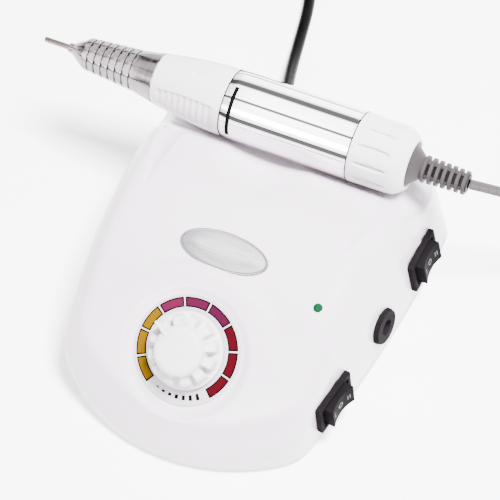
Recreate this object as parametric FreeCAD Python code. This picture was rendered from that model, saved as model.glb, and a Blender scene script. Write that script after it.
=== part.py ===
"""Desktop electric nail drill: a control box with a speed dial, two rocker switches and a lead socket,
and a motor handpiece that lies in the trough across its top.

Millimetres, +Z up. The origin is on the table under the middle of the box: +X is the box's right-hand side,
where the switches are, and -Y is its front, where the dial is. The handpiece lies along X, bit to -X.
"""
import FreeCAD, Part
import math
import os
from FreeCAD import Vector as V

# ---- control box: plan outlines of the wall at its foot and at its (virtual) top -----------------------
FOOT_Z, CAP_Z = 2.5, 60.0            # heights of the two outlines
FOOT_OUTLINE = dict(half_w=62.4, side_r=498.0, side_y=56.4, front_y=-75.0, front_r=72.8,
                    rear_y=75.0, rear_r=260.0, front_corner=18.6, rear_corner=13.0)
CAP_OUTLINE = dict(half_w=51.5, side_r=900.0, side_y=25.0, front_y=-72.0, front_r=95.0,
                   rear_y=74.0, rear_r=260.0, front_corner=15.0, rear_corner=24.0)
EDGE_OUTLINE = dict(half_w=55.4, side_r=900.0, side_y=45.0, front_y=-74.0, front_r=76.0,
                    rear_y=70.0, rear_r=260.0, front_corner=18.0, rear_corner=18.0)
WALL = 2.5                           # moulded wall thickness
# ---- control box: the top surface ------------------------------------------------------------------------
FACE_R, CREST_Y, CREST_Z = 105.0, 15.0, 55.5    # the face is an arc over the box, highest at the crest
FACE_MAX_SLOPE = math.radians(38.0)             # and runs straight below this slope
CROWN_R = 420.0                                 # side-to-side crown of the face
BEVEL_W, BEVEL_SLOPE, BEVEL_SOFT = 6.5, 1.15, 1.5
TROUGH_R, TROUGH_SLOPE, TROUGH_SOFT = 16.75, math.radians(60.0), 6.0
REAR_LIP_Z, LIP_SOFT = 46.5, 4.0
SCOOP_X, SCOOP_Y, SCOOP_RX, SCOOP_RY, SCOOP_DEPTH = -4.0, 30.0, 18.5, 15.0, 3.0
FLUTE_X, FLUTE_TOP_Y, FLUTE_LOW_Y, FLUTE_HALF_W, FLUTE_DEPTH = 43.3, 34.0, 0.0, 6.0, 1.6
GRID_STEP = 2.75                                # spacing of the points that the top surface passes through
# ---- handpiece: stations along X from the bit's tip, and radii -------------------------------------------
AX_Y, AX_Z = 49.0, 57.0
TIP_X, CHUCK_X, NOSE_X, NOSE_SHOULDER_X, RINGS_END_X = -107.4, -96.2, -93.7, -87.7, -65.1
GRIP_X, BARREL_X, REAR_CAP_X, CAP_END_X, BOOT_NECK_X, BOOT_END_X = -55.9, -24.9, 27.4, 49.7, 54.0, 72.0
BIT_END_X, BIT_R = -76.0, 1.175
BARREL_R, GRIP_FRONT_R, GRIP_REAR_R = 13.75, 10.2, 13.3
NOSE_SHOULDER_R, RINGS_END_R = 6.55, 8.4
NOSE_RINGS, RING_PITCH, RING_WIDTH, RING_DEPTH = 7, 3.2, 0.9, 0.75
GRIP_RIBS, RIB_PITCH, RIB_PANELS = 9, 2.75, (78.0, 258.0)    # panels by angle from top to front
CAP_FLUTES, BOOT_RING_PITCH, BOOT_RINGS = 12, 2.65, 7
REST_GAP = 0.3
# ---- dial --------------------------------------------------------------------------------------------------
DIAL_Y, DIAL_SLOPE, DIAL_SINK, DIAL_RIM = -46.8, 35.6, 2.2, 1.1
POCKET_R, SCALE_R, SCALE_T = 24.2, 20.6, 0.5
KNOB_BASE_R, KNOB_R, KNOB_CAP_R = 14.6, 13.4, 9.3
KNOB_LOBE_H, KNOB_H, KNOB_LOBES = 8.6, 12.6, 12
POINTER_DEG = 146.0                             # counter-clockwise from the dial's level axis
POT_SHAFT_R, POT_BUSH_R, POT_BODY_R = 3.0, 3.5, 8.5
NUT_R, NUT_T = 5.6, 2.0
# ---- side fittings: plan place and height on the right-hand wall -----------------------------------------
POWER_Y, SOCKET_Y, DIRECTION_Y, FITTING_Z, FITTING_GAP = 36.3, 2.5, -34.9, 16.5, 0.12
BEZEL_L, BEZEL_W, BEZEL_T = 21.0, 15.0, 2.2
SWITCH_L, SWITCH_W, SWITCH_DEPTH, BLADE_L = 19.0, 12.8, 13.0, 7.5
SOCKET_HOLE_R, SOCKET_RING_R, SOCKET_BODY_R, SOCKET_L = 3.2, 7.3, 5.6, 16.0
# ---- face fittings ---------------------------------------------------------------------------------------
LED_X, LED_Y, LED_R = 40.4, -18.1, 1.8
BADGE_Y, BADGE_A, BADGE_B = -11.8, 17.5, 7.4
# ---- base ------------------------------------------------------------------------------------------------
PLATE_T, PLATE_GAP = 3.0, 0.25
FOOT_R, FOOT_PLACES = 6.0, ((0.0, 0.0), (-44.0, 52.0), (44.0, 52.0), (-34.0, -48.0), (34.0, -48.0))
FOOT_SUNK = 0.8                                 # how far each foot sits up into the plate
SCREW_PLACES = ((-48.0, 36.0), (47.0, 18.0), (-38.0, -36.0), (24.0, -56.0))
SCREW_R, BOSS_R = 1.25, 3.4
VENT_XS, VENT_YS = (-21, 21), range(-14, 19, 8)
POST_PLACES = ((-37.0, -27.0), (27.0, -27.0), (-37.0, 1.0), (27.0, 1.0))
BOARD_Z, BOARD_T = 11.0, 1.6
# ---- cords -----------------------------------------------------------------------------------------------
MAINS_D, LEAD_D = 5.2, 4.0
GLAND = V(-22.0, 74.6, 12.0)
MAINS_ROUTE = [V(-24.6, 96.0, 10.4), V(-29.0, 109.0, 5.6), V(-33.5, 128.0, 2.7), V(-38.3, 151.0, 2.7),
               V(-45.0, 167.0, 2.7), V(-50.0, 182.0, 2.7)]
MAINS_COIL_C, MAINS_COIL_MID, MAINS_COIL_HALF, MAINS_COIL_H = V(-84.7, 182.0, 0.0), 29.5, 7.9, 14.6
LEAD_ROUTE = [V(72.5, 49.0, 57.0), V(83.5, 51.0, 56.0), V(95.0, 56.0, 49.5), V(105.0, 62.5, 37.0),
              V(113.0, 70.5, 22.5), V(120.0, 80.0, 9.0), V(129.5, 90.0, 2.1), V(142.0, 100.5, 2.1),
              V(150.0, 116.0, 2.1)]
LEAD_COIL_C, LEAD_COIL_MID, LEAD_COIL_HALF, LEAD_COIL_H = V(123.0, 116.0, 0.0), 23.0, 6.1, 11.2

X_DIR, Y_DIR, Z_DIR = V(1, 0, 0), V(0, 1, 0), V(0, 0, 1)
PARTS = "parts"


def save(name, shape):
    """Write one sub-part, checked to be sound."""
    solids = shape.Solids
    assert solids and shape.isValid(), name + " is not a sound solid"
    result = solids[0] if len(solids) == 1 else Part.makeCompound(solids)
    result.exportStep(os.path.join(PARTS, name + ".step"))
    print(f"{name:26s} {len(solids):3d} solids {sum(s.Volume for s in solids):10.1f} mm3")
    return result


# ============================================================ outlines of the box
class Outline:
    """A plan outline, alike left and right: long side arcs, front and rear arcs, and round corners."""

    def __init__(self, half_w, side_r, side_y, front_y, front_r, rear_y, rear_r, front_corner, rear_corner):
        self.side = (V(half_w - side_r, side_y, 0), side_r)
        self.front = (V(0, front_y + front_r, 0), front_r)
        self.rear = (V(0, rear_y - rear_r, 0), rear_r)
        self.front_corner = (self.corner(self.front, front_corner, -1), front_corner)
        self.rear_corner = (self.corner(self.rear, rear_corner, 1), rear_corner)

    def corner(self, end, r, y_sign):
        """Centre of the corner arc of radius r inside the side arc and an end arc."""
        r1, r2 = self.side[1] - r, end[1] - r
        step = end[0] - self.side[0]
        d = step.Length
        along = (r1 * r1 - r2 * r2 + d * d) / (2 * d)
        off = math.sqrt(r1 * r1 - along * along)
        foot = self.side[0] + step * (along / d)
        across = V(step.y, -step.x, 0) / d
        return max((foot + across * off, foot - across * off), key=lambda c: c.x + 50 * y_sign * c.y)

    def depth(self, x, y):
        """How far a plan point lies inside the outline."""
        p = V(abs(x), y, 0)
        corners = ((self.front_corner, self.front, -1), (self.rear_corner, self.rear, 1))
        for (centre, r), end, turn in corners:
            from_side = (centre - self.side[0]).cross(p - centre).z * turn
            from_end = (centre - end[0]).cross(p - centre).z * turn
            if from_side >= 0 and from_end <= 0:
                return r - (p - centre).Length
        side = self.side[1] - (p - self.side[0]).Length
        end = self.front if y < 0 else self.rear
        return min(side, end[1] - (p - end[0]).Length)

    def wire(self, z, inset=0.0):
        """The closed outline at a height, drawn in by inset."""
        def touch(corner, big):
            out = (corner[0] - big[0]).normalize()
            return corner[0] + out * (corner[1] - inset)

        def arc(p, q, centre, r):
            half = ((p - centre) + (q - centre)).normalize()
            return Part.Arc(p, centre + half * (r - inset), q).toShape()

        def mirror(p):
            return V(-p.x, p.y, 0)

        f_side, f_front = touch(self.front_corner, self.side), touch(self.front_corner, self.front)
        r_side, r_rear = touch(self.rear_corner, self.side), touch(self.rear_corner, self.rear)
        spans = [(f_side, r_side, *self.side), (r_side, r_rear, *self.rear_corner),
                 (r_rear, mirror(r_rear), *self.rear),
                 (mirror(r_rear), mirror(r_side), mirror(self.rear_corner[0]), self.rear_corner[1]),
                 (mirror(r_side), mirror(f_side), mirror(self.side[0]), self.side[1]),
                 (mirror(f_side), mirror(f_front), mirror(self.front_corner[0]), self.front_corner[1]),
                 (mirror(f_front), f_front, *self.front), (f_front, f_side, *self.front_corner)]
        wire = Part.Wire([arc(*span) for span in spans])
        wire.translate(V(0, 0, z))
        return wire


FOOT = Outline(**FOOT_OUTLINE)
CAP = Outline(**CAP_OUTLINE)
EDGE = Outline(**EDGE_OUTLINE)


# ============================================================ the top surface
def soft_min(a, b, k):
    h = max(k - abs(a - b), 0.0) / k
    return min(a, b) - h * h * k / 4


def soft_ramp(t, k):
    """Zero for t well below zero, t for t well above it, with a bend of width k between."""
    t = t / k
    return k * t if t > 30 else k * math.log1p(math.exp(t))


def face_z(x, y):
    start = CREST_Y - FACE_R * math.sin(FACE_MAX_SLOPE)
    held = max(y, start)
    z = CREST_Z - FACE_R + math.sqrt(FACE_R ** 2 - (held - CREST_Y) ** 2)
    z -= (held - y) * math.tan(FACE_MAX_SLOPE)
    return z - (CROWN_R - math.sqrt(CROWN_R ** 2 - x * x))


def trough_z(y):
    """A round-bottomed trough under the handpiece, with straight sloping sides."""
    t = abs(y - AX_Y)
    low = AX_Z - BARREL_R - REST_GAP
    edge = TROUGH_R * math.sin(TROUGH_SLOPE)
    if t < edge:
        return low + TROUGH_R - math.sqrt(TROUGH_R ** 2 - t * t)
    return low + TROUGH_R * (1 - math.cos(TROUGH_SLOPE)) + (t - edge) * math.tan(TROUGH_SLOPE)


def scoop(x, y):
    """The thumb scoop in the front rim of the trough."""
    q = ((x - SCOOP_X) / SCOOP_RX) ** 2 + ((y - SCOOP_Y) / SCOOP_RY) ** 2
    return SCOOP_DEPTH * soft_ramp(1 - q, 0.06)


def dial_rim(x, y, z):
    """The face raised a little round the dial's pocket, so that the pocket has a rim all round."""
    slope = math.radians(DIAL_SLOPE)
    over = y - DIAL_Y
    reach = math.hypot(x, over / math.cos(slope)) / POCKET_R
    floor = face_z(0, DIAL_Y) + over * math.tan(slope) - DIAL_SINK / math.cos(slope)
    share = 1.0 if reach < 1.08 else max(0.0, 1 - ((reach - 1.08) / 0.5) ** 2) ** 2
    rise = floor + DIAL_RIM - z
    return share * soft_ramp(rise, 0.3)


def flute(x, y):
    """A shallow leaf-shaped flute beside each end of the rim, pointed towards the dial."""
    u = (y - FLUTE_LOW_Y) / (FLUTE_TOP_Y - FLUTE_LOW_Y)
    if not 0 < u < 1:
        return 0.0
    half = FLUTE_HALF_W * u
    v = (abs(x) - FLUTE_X + 4.0 * (1 - u) ** 2) / half
    return FLUTE_DEPTH * u * soft_ramp(1 - v * v, 0.08)


def top_z(x, y):
    if y < AX_Y:
        z = soft_min(face_z(x, y), trough_z(y), TROUGH_SOFT)
    else:
        z = soft_min(trough_z(y), REAR_LIP_Z, LIP_SOFT)
    z += dial_rim(x, y, z) - scoop(x, y) - flute(x, y)
    return z - BEVEL_SLOPE * soft_ramp(BEVEL_W - EDGE.depth(x, y), BEVEL_SOFT)


def under_top(drop, reach_x=66.0, reach_y=79.0):
    """Everything below the top surface lowered by drop."""
    nx, ny = round(2 * reach_x / GRID_STEP), round(2 * reach_y / GRID_STEP)
    xs = [-reach_x + 2 * reach_x * i / nx for i in range(nx + 1)]
    ys = [-reach_y + 2 * reach_y * j / ny for j in range(ny + 1)]
    skin = Part.BSplineSurface()
    skin.interpolate([[V(x, y, top_z(x, y) - drop) for y in ys] for x in xs])
    return skin.toShape().extrude(V(0, 0, -90))


def box_body(inset, drop):
    """The box's solid: its leaning wall below its top surface."""
    wall = Part.makeLoft([FOOT.wire(FOOT_Z, inset), CAP.wire(CAP_Z, inset)], True, True)
    return wall.common(under_top(drop)).Solids[0]


def wall_x(y, z):
    """The right-hand wall's x at a depth and height."""
    def at(outline):
        centre, r = outline.side
        return centre.x + math.sqrt(r * r - (y - centre.y) ** 2)
    return at(FOOT) + (at(CAP) - at(FOOT)) * (z - FOOT_Z) / (CAP_Z - FOOT_Z)


def wall_place(y, z):
    """Placement on the right-hand wall: local Z out of the wall, local X along it to the rear, Y up it."""
    step = 0.5
    origin = V(wall_x(y, z) + FITTING_GAP, y, z)
    along = (V(wall_x(y + step, z), y + step, z) - V(wall_x(y - step, z), y - step, z)).normalize()
    up = V(wall_x(y, z + step), y, z + step) - V(wall_x(y, z - step), y, z - step)
    up = (up - along * up.dot(along)).normalize()
    return FreeCAD.Placement(origin, FreeCAD.Rotation(along, up, along.cross(up), "XYZ"))


def dial_place():
    """Placement on the dial's floor: local Z out of the face, local Y up it."""
    slope = math.radians(DIAL_SLOPE)
    out = V(0, -math.sin(slope), math.cos(slope))
    origin = V(0, DIAL_Y, face_z(0, DIAL_Y)) - out * DIAL_SINK
    return FreeCAD.Placement(origin, FreeCAD.Rotation(X_DIR, out.cross(X_DIR), out, "XYZ"))


def face_place(x, y):
    """Placement on the face: local Z along its normal, local X level."""
    step = 0.5
    to_rear = V(0, 2 * step, top_z(x, y + step) - top_z(x, y - step)).normalize()
    out = X_DIR.cross(to_rear)
    return FreeCAD.Placement(V(x, y, top_z(x, y)), FreeCAD.Rotation(X_DIR, to_rear, out, "XYZ"))


# ============================================================ small solids
def rod(r, z0, z1, x=0.0, y=0.0):
    return Part.makeCylinder(r, z1 - z0, V(x, y, z0))


def tube(r_out, r_in, z0, z1, x=0.0, y=0.0):
    return rod(r_out, z0, z1, x, y).cut(rod(r_in, z0 - 1, z1 + 1, x, y))


def block(x0, x1, y0, y1, z0, z1):
    return Part.makeBox(x1 - x0, y1 - y0, z1 - z0, V(x0, y0, z0))


def rounded_block(x0, x1, y0, y1, z0, z1, r):
    """A block with round upright corners."""
    body = block(x0, x1, y0, y1, z0, z1)
    return body.makeFillet(r, [e for e in body.Edges if abs(e.Vertexes[0].Z - e.Vertexes[1].Z) > 1e-6])


def placed(shape, place):
    moved = shape.copy()
    moved.Placement = place.multiply(moved.Placement)
    return moved


def fused(shapes):
    """Pieces that are one moulding or turning."""
    body = shapes[0]
    for other in shapes[1:]:
        body = body.fuse(other)
    return body.removeSplitter()


def cut_all(body, tools):
    for tool in tools:
        body = body.cut(tool)
    return body


def turned(profile, axis_y=AX_Y, axis_z=AX_Z):
    """Revolve a closed (x, radius) profile about the handpiece's axis. A pair of points is an arc."""
    def at(p):
        return V(p[0], axis_y, axis_z + p[1])

    edges = []
    last = at(profile[0])
    for item in profile[1:] + [profile[0]]:
        if isinstance(item[0], tuple):
            end = at(item[1])
            edges.append(Part.Arc(last, at(item[0]), end).toShape())
        else:
            end = at(item)
            edges.append(Part.makeLine(last, end))
        last = end
    face = Part.Face(Part.Wire(edges))
    return face.revolve(V(0, axis_y, axis_z), X_DIR, 360)


def ring_x(x0, x1, r_out, r_in=0.0):
    """A plain ring or rod along the handpiece's axis."""
    body = Part.makeCylinder(r_out, x1 - x0, V(x0, AX_Y, AX_Z), X_DIR)
    if r_in:
        body = body.cut(Part.makeCylinder(r_in, x1 - x0 + 2, V(x0 - 1, AX_Y, AX_Z), X_DIR))
    return body


def around(shape, count, start=0.0, axis=Z_DIR, centre=V(0, 0, 0)):
    """Copies of a shape turned evenly about an axis."""
    copies = []
    for i in range(count):
        copy = shape.copy()
        copy.rotate(centre, axis, start + 360.0 * i / count)
        copies.append(copy)
    return copies


# ============================================================ the box
def oval(a, b, z0, z1):
    face = Part.Face(Part.Wire(Part.Ellipse(V(0, 0, z0), a, b).toShape()))
    return face.extrude(V(0, 0, z1 - z0))


def make_top_shell():
    shell = box_body(0.0, 0.0).cut(box_body(WALL, WALL + 0.2))
    dial, led, badge = dial_place(), face_place(LED_X, LED_Y), face_place(0.0, BADGE_Y)
    power, socket, direction = (wall_place(y, FITTING_Z) for y in (POWER_Y, SOCKET_Y, DIRECTION_Y))
    bosses = []
    reach = (-BOSS_R, 0, BOSS_R)
    for x, y in SCREW_PLACES:
        roof = min(top_z(x + dx, y + dy) for dx in reach for dy in reach) - 1.0
        bosses.append(tube(BOSS_R, SCREW_R, FOOT_Z + PLATE_T, roof, x, y))
    shell = fused([shell] + bosses)
    long, wide = SWITCH_L / 2 + 0.1, SWITCH_W / 2 + 0.1
    switch_hole = block(-long, long, -wide, wide, -9, 5)
    shell = cut_all(shell, [
        placed(rod(POCKET_R, 0, 30), dial), placed(rod(POT_BUSH_R + 0.15, -12, 1), dial),
        placed(rod(LED_R, -8, 4), led), placed(oval(BADGE_A + 0.2, BADGE_B + 0.2, -0.8, 6), badge),
        placed(switch_hole, power), placed(switch_hole, direction),
        placed(rod(SOCKET_BODY_R + 0.1, -9, 5), socket),
        Part.makeCylinder(4.6, 20, V(GLAND.x, 62, GLAND.z), Y_DIR)])
    return max(shell.Solids, key=lambda s: s.Volume)


def make_base_plate():
    floor = FOOT.wire(FOOT_Z, WALL + PLATE_GAP)
    plate = Part.makeLoft([floor, CAP.wire(CAP_Z, WALL + PLATE_GAP)], True, True)
    plate = plate.common(block(-80, 80, -90, 90, FOOT_Z, FOOT_Z + PLATE_T))
    vents = []
    for x in VENT_XS:
        vents += [rounded_block(x - 11, x + 11, y - 1.3, y + 1.3, 0, 12, 1.2) for y in VENT_YS]
    holes = [rod(1.7, 0, 12, x, y) for x, y in SCREW_PLACES]
    sinks = [rod(3.3, 0, FOOT_Z + 1.3, x, y) for x, y in SCREW_PLACES]
    seats = [rod(FOOT_R + 0.15, 0, FOOT_Z + FOOT_SUNK, x, y) for x, y in FOOT_PLACES]
    posts = [tube(3.0, 1.2, FOOT_Z + PLATE_T - 0.5, BOARD_Z, x, y) for x, y in POST_PLACES]
    return fused([cut_all(plate, vents + holes + sinks + seats)] + posts)


def make_feet():
    feet = []
    for x, y in FOOT_PLACES:
        foot = rod(FOOT_R, 0, FOOT_Z + FOOT_SUNK, x, y)
        feet.append(foot.makeFillet(0.8, [e for e in foot.Edges if e.BoundBox.ZMax < 0.01]))
    return Part.makeCompound(feet)


def make_case_screws():
    screws = []
    for x, y in SCREW_PLACES:
        head = rod(2.9, FOOT_Z + 0.1, FOOT_Z + 1.3, x, y)
        shank = rod(SCREW_R, FOOT_Z + 1.3, 13.0, x, y)
        slots = []
        for dx, dy in ((1.7, 0.35), (0.35, 1.7)):
            slots.append(block(x - dx, x + dx, y - dy, y + dy, 0, FOOT_Z + 0.8))
        screws.append(cut_all(head.fuse(shank), slots))
    return Part.makeCompound(screws)


def make_dial():
    place = dial_place()
    save("speed_scale", placed(tube(SCALE_R, POT_BUSH_R + 0.2, 0.02, SCALE_T), place))
    base = rod(KNOB_BASE_R, 1.2, 3.0)
    lobes = rod(KNOB_R, 2.9, KNOB_LOBE_H)
    gaps = around(block(KNOB_CAP_R, KNOB_R + 2, -1.7, 1.7, 3.4, KNOB_H), KNOB_LOBES, POINTER_DEG + 15)
    cap = rod(KNOB_CAP_R, 2.9, KNOB_H)
    cap = cap.makeFillet(1.2, [e for e in cap.Edges if e.BoundBox.ZMin > KNOB_H - 0.01])
    pointer = block(6.6, KNOB_R, -0.55, 0.55, KNOB_LOBE_H - 1, KNOB_H + 0.2)
    pointer.rotate(V(0, 0, 0), Z_DIR, POINTER_DEG)
    bore = rod(POT_SHAFT_R + 0.005, 1, KNOB_H - 2.5)
    knob = fused([base, cut_all(lobes, gaps), cap, pointer]).cut(bore).cut(rod(6.4, 1, 4.4))
    save("speed_knob", placed(knob, place))
    save("pot_shaft", placed(rod(POT_SHAFT_R, -9.5, KNOB_H - 2.6), place))
    turns = [math.radians(60 * i) for i in range(7)]
    hexagon = Part.makePolygon([V(NUT_R * math.cos(a), NUT_R * math.sin(a), SCALE_T + 0.05) for a in turns])
    nut = Part.Face(hexagon).extrude(V(0, 0, NUT_T))
    save("pot_nut", placed(nut.cut(rod(POT_BUSH_R + 0.005, 0, 3)), place))
    bush = tube(POT_BUSH_R, POT_SHAFT_R + 0.05, -4.9, 3.6)
    body = rod(POT_BODY_R, -14.5, -4.6).cut(rod(POT_SHAFT_R + 0.05, -9.8, -4))
    legs = [block(x - 0.6, x + 0.6, -13.5, -6.0, -12.2, -11.4) for x in (-5, 0, 5)]
    save("pot_body", placed(fused([bush, body] + legs), place))


def make_switch(name, place):
    """A rocker switch: bezel, housing with three blades, and the paddle on its cross pin."""
    half_l, half_w = SWITCH_L / 2, SWITCH_W / 2
    bezel = rounded_block(-BEZEL_L / 2, BEZEL_L / 2, -BEZEL_W / 2, BEZEL_W / 2, 0.0, BEZEL_T, 1.0)
    housing = block(-half_l, half_l, -half_w, half_w, -SWITCH_DEPTH, 0.1)
    well = block(-8.3, 8.3, -5.2, 5.2, -5.5, 9)
    pin_holes = [Part.makeCylinder(1.05, 3, V(0, s * 4.6, 0.6), V(0, s, 0)) for s in (-1, 1)]
    case = cut_all(bezel.fuse(housing), [well] + pin_holes)
    save(name + "_switch_body", placed(case.removeSplitter(), place))
    ends = -SWITCH_DEPTH - BLADE_L
    blades = [block(x - 0.4, x + 0.4, -2.4, 2.4, ends, -SWITCH_DEPTH) for x in (-6.5, 0, 6.5)]
    save(name + "_switch_blades", placed(Part.makeCompound(blades), place))
    half, crest, dip, low = 7.0, 5.6, 4.0, 0.6
    outline = Part.Wire([
        Part.makeLine(V(-half, -4.9, crest), V(-half, -4.9, low)),
        Part.Arc(V(-half, -4.9, low), V(0, -4.9, -3.8), V(half, -4.9, low)).toShape(),
        Part.makeLine(V(half, -4.9, low), V(half, -4.9, crest)),
        Part.Arc(V(half, -4.9, crest), V(0, -4.9, dip), V(-half, -4.9, crest)).toShape()])
    paddle = Part.Face(outline).extrude(V(0, 9.8, 0))
    pins = [Part.makeCylinder(1.0, 1.5, V(0, s * 4.8, 0.6), V(0, s, 0)) for s in (-1, 1)]
    save(name + "_paddle", placed(fused([paddle] + pins), place))


def make_socket(place):
    ring = fused([rod(SOCKET_RING_R, 0.0, 1.2), rod(SOCKET_RING_R - 1.5, 1.1, 2.1)])
    neck = rod(SOCKET_BODY_R, -4.0, 0.1)
    save("socket_ring", placed(fused([ring, neck]).cut(rod(SOCKET_HOLE_R, -6, 4)), place))
    body = rod(SOCKET_BODY_R + 1.2, -SOCKET_L - 4.0, -4.0)
    tags = [block(x - 1, x + 1, -0.3, 0.3, -SOCKET_L - 9, -SOCKET_L - 3.9) for x in (-3, 3)]
    cavity = rod(SOCKET_HOLE_R, -SOCKET_L, -3.9)
    save("socket_body", placed(cut_all(fused([body] + tags), [cavity]), place))


def make_badge(place):
    plate = oval(BADGE_A, BADGE_B, -0.75, 0.9)
    rim = plate.makeFillet(0.55, [e for e in plate.Edges if e.BoundBox.ZMin > 0.8])
    save("badge_frame", placed(rim.cut(oval(BADGE_A - 1.3, BADGE_B - 1.3, 0.0, 3)), place))
    dome = Part.makeSphere(1.0)
    scale = FreeCAD.Matrix()
    scale.scale(BADGE_A - 1.35, BADGE_B - 1.35, 1.5)
    dome = dome.transformGeometry(scale).common(block(-30, 30, -30, 30, 0.02, 5))
    save("badge_dome", placed(dome, place))


def make_led(place):
    stem = rod(LED_R - 0.1, -5.5, 0.4)
    tip = Part.makeSphere(LED_R - 0.1, V(0, 0, 0.4))
    save("led_lens", placed(fused([stem, tip]), place))


# ============================================================ inside the box
def make_power_supply():
    core = block(-27, 14, 12, 46, 8.0, 33.0)
    windows = [block(-20, -12, 5, 50, 14, 27), block(-1, 7, 5, 50, 14, 27)]
    save("transformer_core", cut_all(core, windows))
    winding = rounded_block(-19.8, 6.8, 6.5, 51.5, 14.2, 26.8, 2.0)
    save("transformer_winding", winding.cut(block(-12, -1, 12, 46, 10, 30)))
    strap = block(-37, 24, 22, 34, 5.5, 34.2).cut(block(-27.05, 14.05, 20, 36, 8.0, 33.05))
    strap = strap.cut(block(-40, -28.2, 20, 36, 7.4, 40)).cut(block(15.2, 30, 20, 36, 7.4, 40))
    screws = [rod(1.5, 5, 10, x, 28) for x in (-32.5, 19.5)]
    save("transformer_strap", cut_all(strap, screws))
    heads = [fused([rod(1.5, 5.5, 7.5, x, 28), rod(2.8, 7.4, 9.0, x, 28)]) for x in (-32.5, 19.5)]
    save("transformer_screws", Part.makeCompound(heads))


def make_board():
    z = BOARD_Z
    top = z + BOARD_T
    holes = [rod(1.6, z - 1, z + 3, x, y) for x, y in POST_PLACES]
    save("control_board", cut_all(block(-41, 31, -31, 5, z, top), holes))
    screws = []
    for x, y in POST_PLACES:
        screws.append(fused([rod(1.15, z - 4, top + 0.1, x, y), rod(2.6, top, top + 1.6, x, y)]))
    save("board_screws", Part.makeCompound(screws))
    cans = [rod(8.0, top, top + 17, -26, -14), rod(4.0, top, top + 11, -10, -22)]
    save("capacitors", Part.makeCompound(cans))
    save("power_transistor", block(8, 18, -12.0, -7.5, top + 2, top + 17))
    fins = [block(5, 21, y, y + 1.2, top + 0.0, top + 20) for y in (-7.5, -4.5, -1.5)]
    save("heat_sink", fused(fins + [block(5, 21, -7.5, -0.3, top, top + 1.5)]))
    fuse = Part.makeCylinder(2.5, 20, V(-16, -1.0, top + 4.2), X_DIR)
    save("fuse", fuse)
    clip = block(-2, 2, -4.2, 2.2, top, top + 6.0).cut(block(-3, 3, -3.5, 1.5, top + 1.0, top + 9))
    clips = []
    for x in (-13.0, 1.0):
        one = clip.copy()
        one.translate(V(x, 0, 0))
        clips.append(one)
    save("fuse_clips", Part.makeCompound(clips))


# ============================================================ handpiece
def nose_radius(x):
    share = (x - NOSE_SHOULDER_X) / (RINGS_END_X - NOSE_SHOULDER_X)
    return NOSE_SHOULDER_R + (RINGS_END_R - NOSE_SHOULDER_R) * share


def make_nose_cone():
    """The steel nose: a cone, a ringed part, and a flare that meets the grip."""
    nose = turned([(NOSE_X, 2.35), (NOSE_X, 2.9), (NOSE_SHOULDER_X, NOSE_SHOULDER_R),
                   (RINGS_END_X, RINGS_END_R), (GRIP_X, GRIP_FRONT_R), (GRIP_X, 9.2),
                   (GRIP_X + 3.0, 9.2), (GRIP_X + 3.0, 7.6), (RINGS_END_X, 7.3),
                   (NOSE_SHOULDER_X + 4, 5.4), (NOSE_SHOULDER_X + 1.5, 4.9), (NOSE_X + 3.2, 2.35)])
    grooves = []
    for i in range(NOSE_RINGS):
        x = NOSE_SHOULDER_X + 1.9 + i * RING_PITCH
        grooves.append(ring_x(x, x + RING_WIDTH, nose_radius(x) + 3, nose_radius(x) - RING_DEPTH))
    save("nose_cone", cut_all(nose, grooves))


def grip_radius(x):
    return GRIP_FRONT_R + (GRIP_REAR_R - GRIP_FRONT_R) * math.sin(
        math.pi / 2 * (x - GRIP_X) / (BARREL_X - GRIP_X))


def make_grip_sleeve():
    """The twist sleeve, with ribs across two finger panels."""
    middle = (GRIP_X + BARREL_X) / 2
    sleeve = turned([(GRIP_X + 0.02, 9.25), (GRIP_X + 0.02, GRIP_FRONT_R - 0.1),
                     ((middle, grip_radius(middle) - 0.1), (BARREL_X - 0.15, GRIP_REAR_R)),
                     (BARREL_X - 0.15, 10.6), (GRIP_X + 3.05, 9.25)])
    cuts = []
    for i in range(GRIP_RIBS):
        x = GRIP_X + 3.2 + RIB_PITCH * i
        groove = ring_x(x, x + 1.2, grip_radius(x) + 2, grip_radius(x) - 0.65)
        for turn in RIB_PANELS:
            panel = block(-70, -20, -5.5, 5.5, 4, 20)
            panel.rotate(V(0, 0, 0), X_DIR, turn)
            panel.translate(V(0, AX_Y, AX_Z))
            cuts.append(groove.common(panel))
    save("grip_sleeve", cut_all(sleeve, cuts))


def make_barrel():
    """The motor's barrel, slimmer at the grip, with the lock's slot across its front and top."""
    barrel = ring_x(BARREL_X, REAR_CAP_X, BARREL_R, 12.7)
    taper = turned([(BARREL_X - 1, 13.25), (BARREL_X + 8, BARREL_R + 0.01),
                    (BARREL_X + 8, 16), (BARREL_X - 1, 16)])
    slot = ring_x(BARREL_X + 3.0, BARREL_X + 4.3, 16, 12).common(
        block(-60, 60, -20, AX_Y - 2.0, AX_Z - 1.0, AX_Z + 20))
    save("barrel", cut_all(barrel, [taper, slot]))


def make_rear_cap():
    cap = turned([(REAR_CAP_X + 0.05, BARREL_R - 0.1), (43.0, BARREL_R - 0.35),
                  ((47.8, 12.2), (CAP_END_X, 9.6)), (CAP_END_X, 9.0), (45.5, 9.0), (43.5, 11.4),
                  (REAR_CAP_X + 0.05, 11.4)])
    flute = Part.makeSphere(1.0)
    stretch = FreeCAD.Matrix()
    stretch.scale(7.0, 1.1, 1.0)
    flute = flute.transformGeometry(stretch)
    flute.translate(V(36.5, AX_Y, AX_Z + BARREL_R + 0.1))
    save("rear_cap", cut_all(cap, around(flute, CAP_FLUTES, 4, X_DIR, V(0, AX_Y, AX_Z))))


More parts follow.
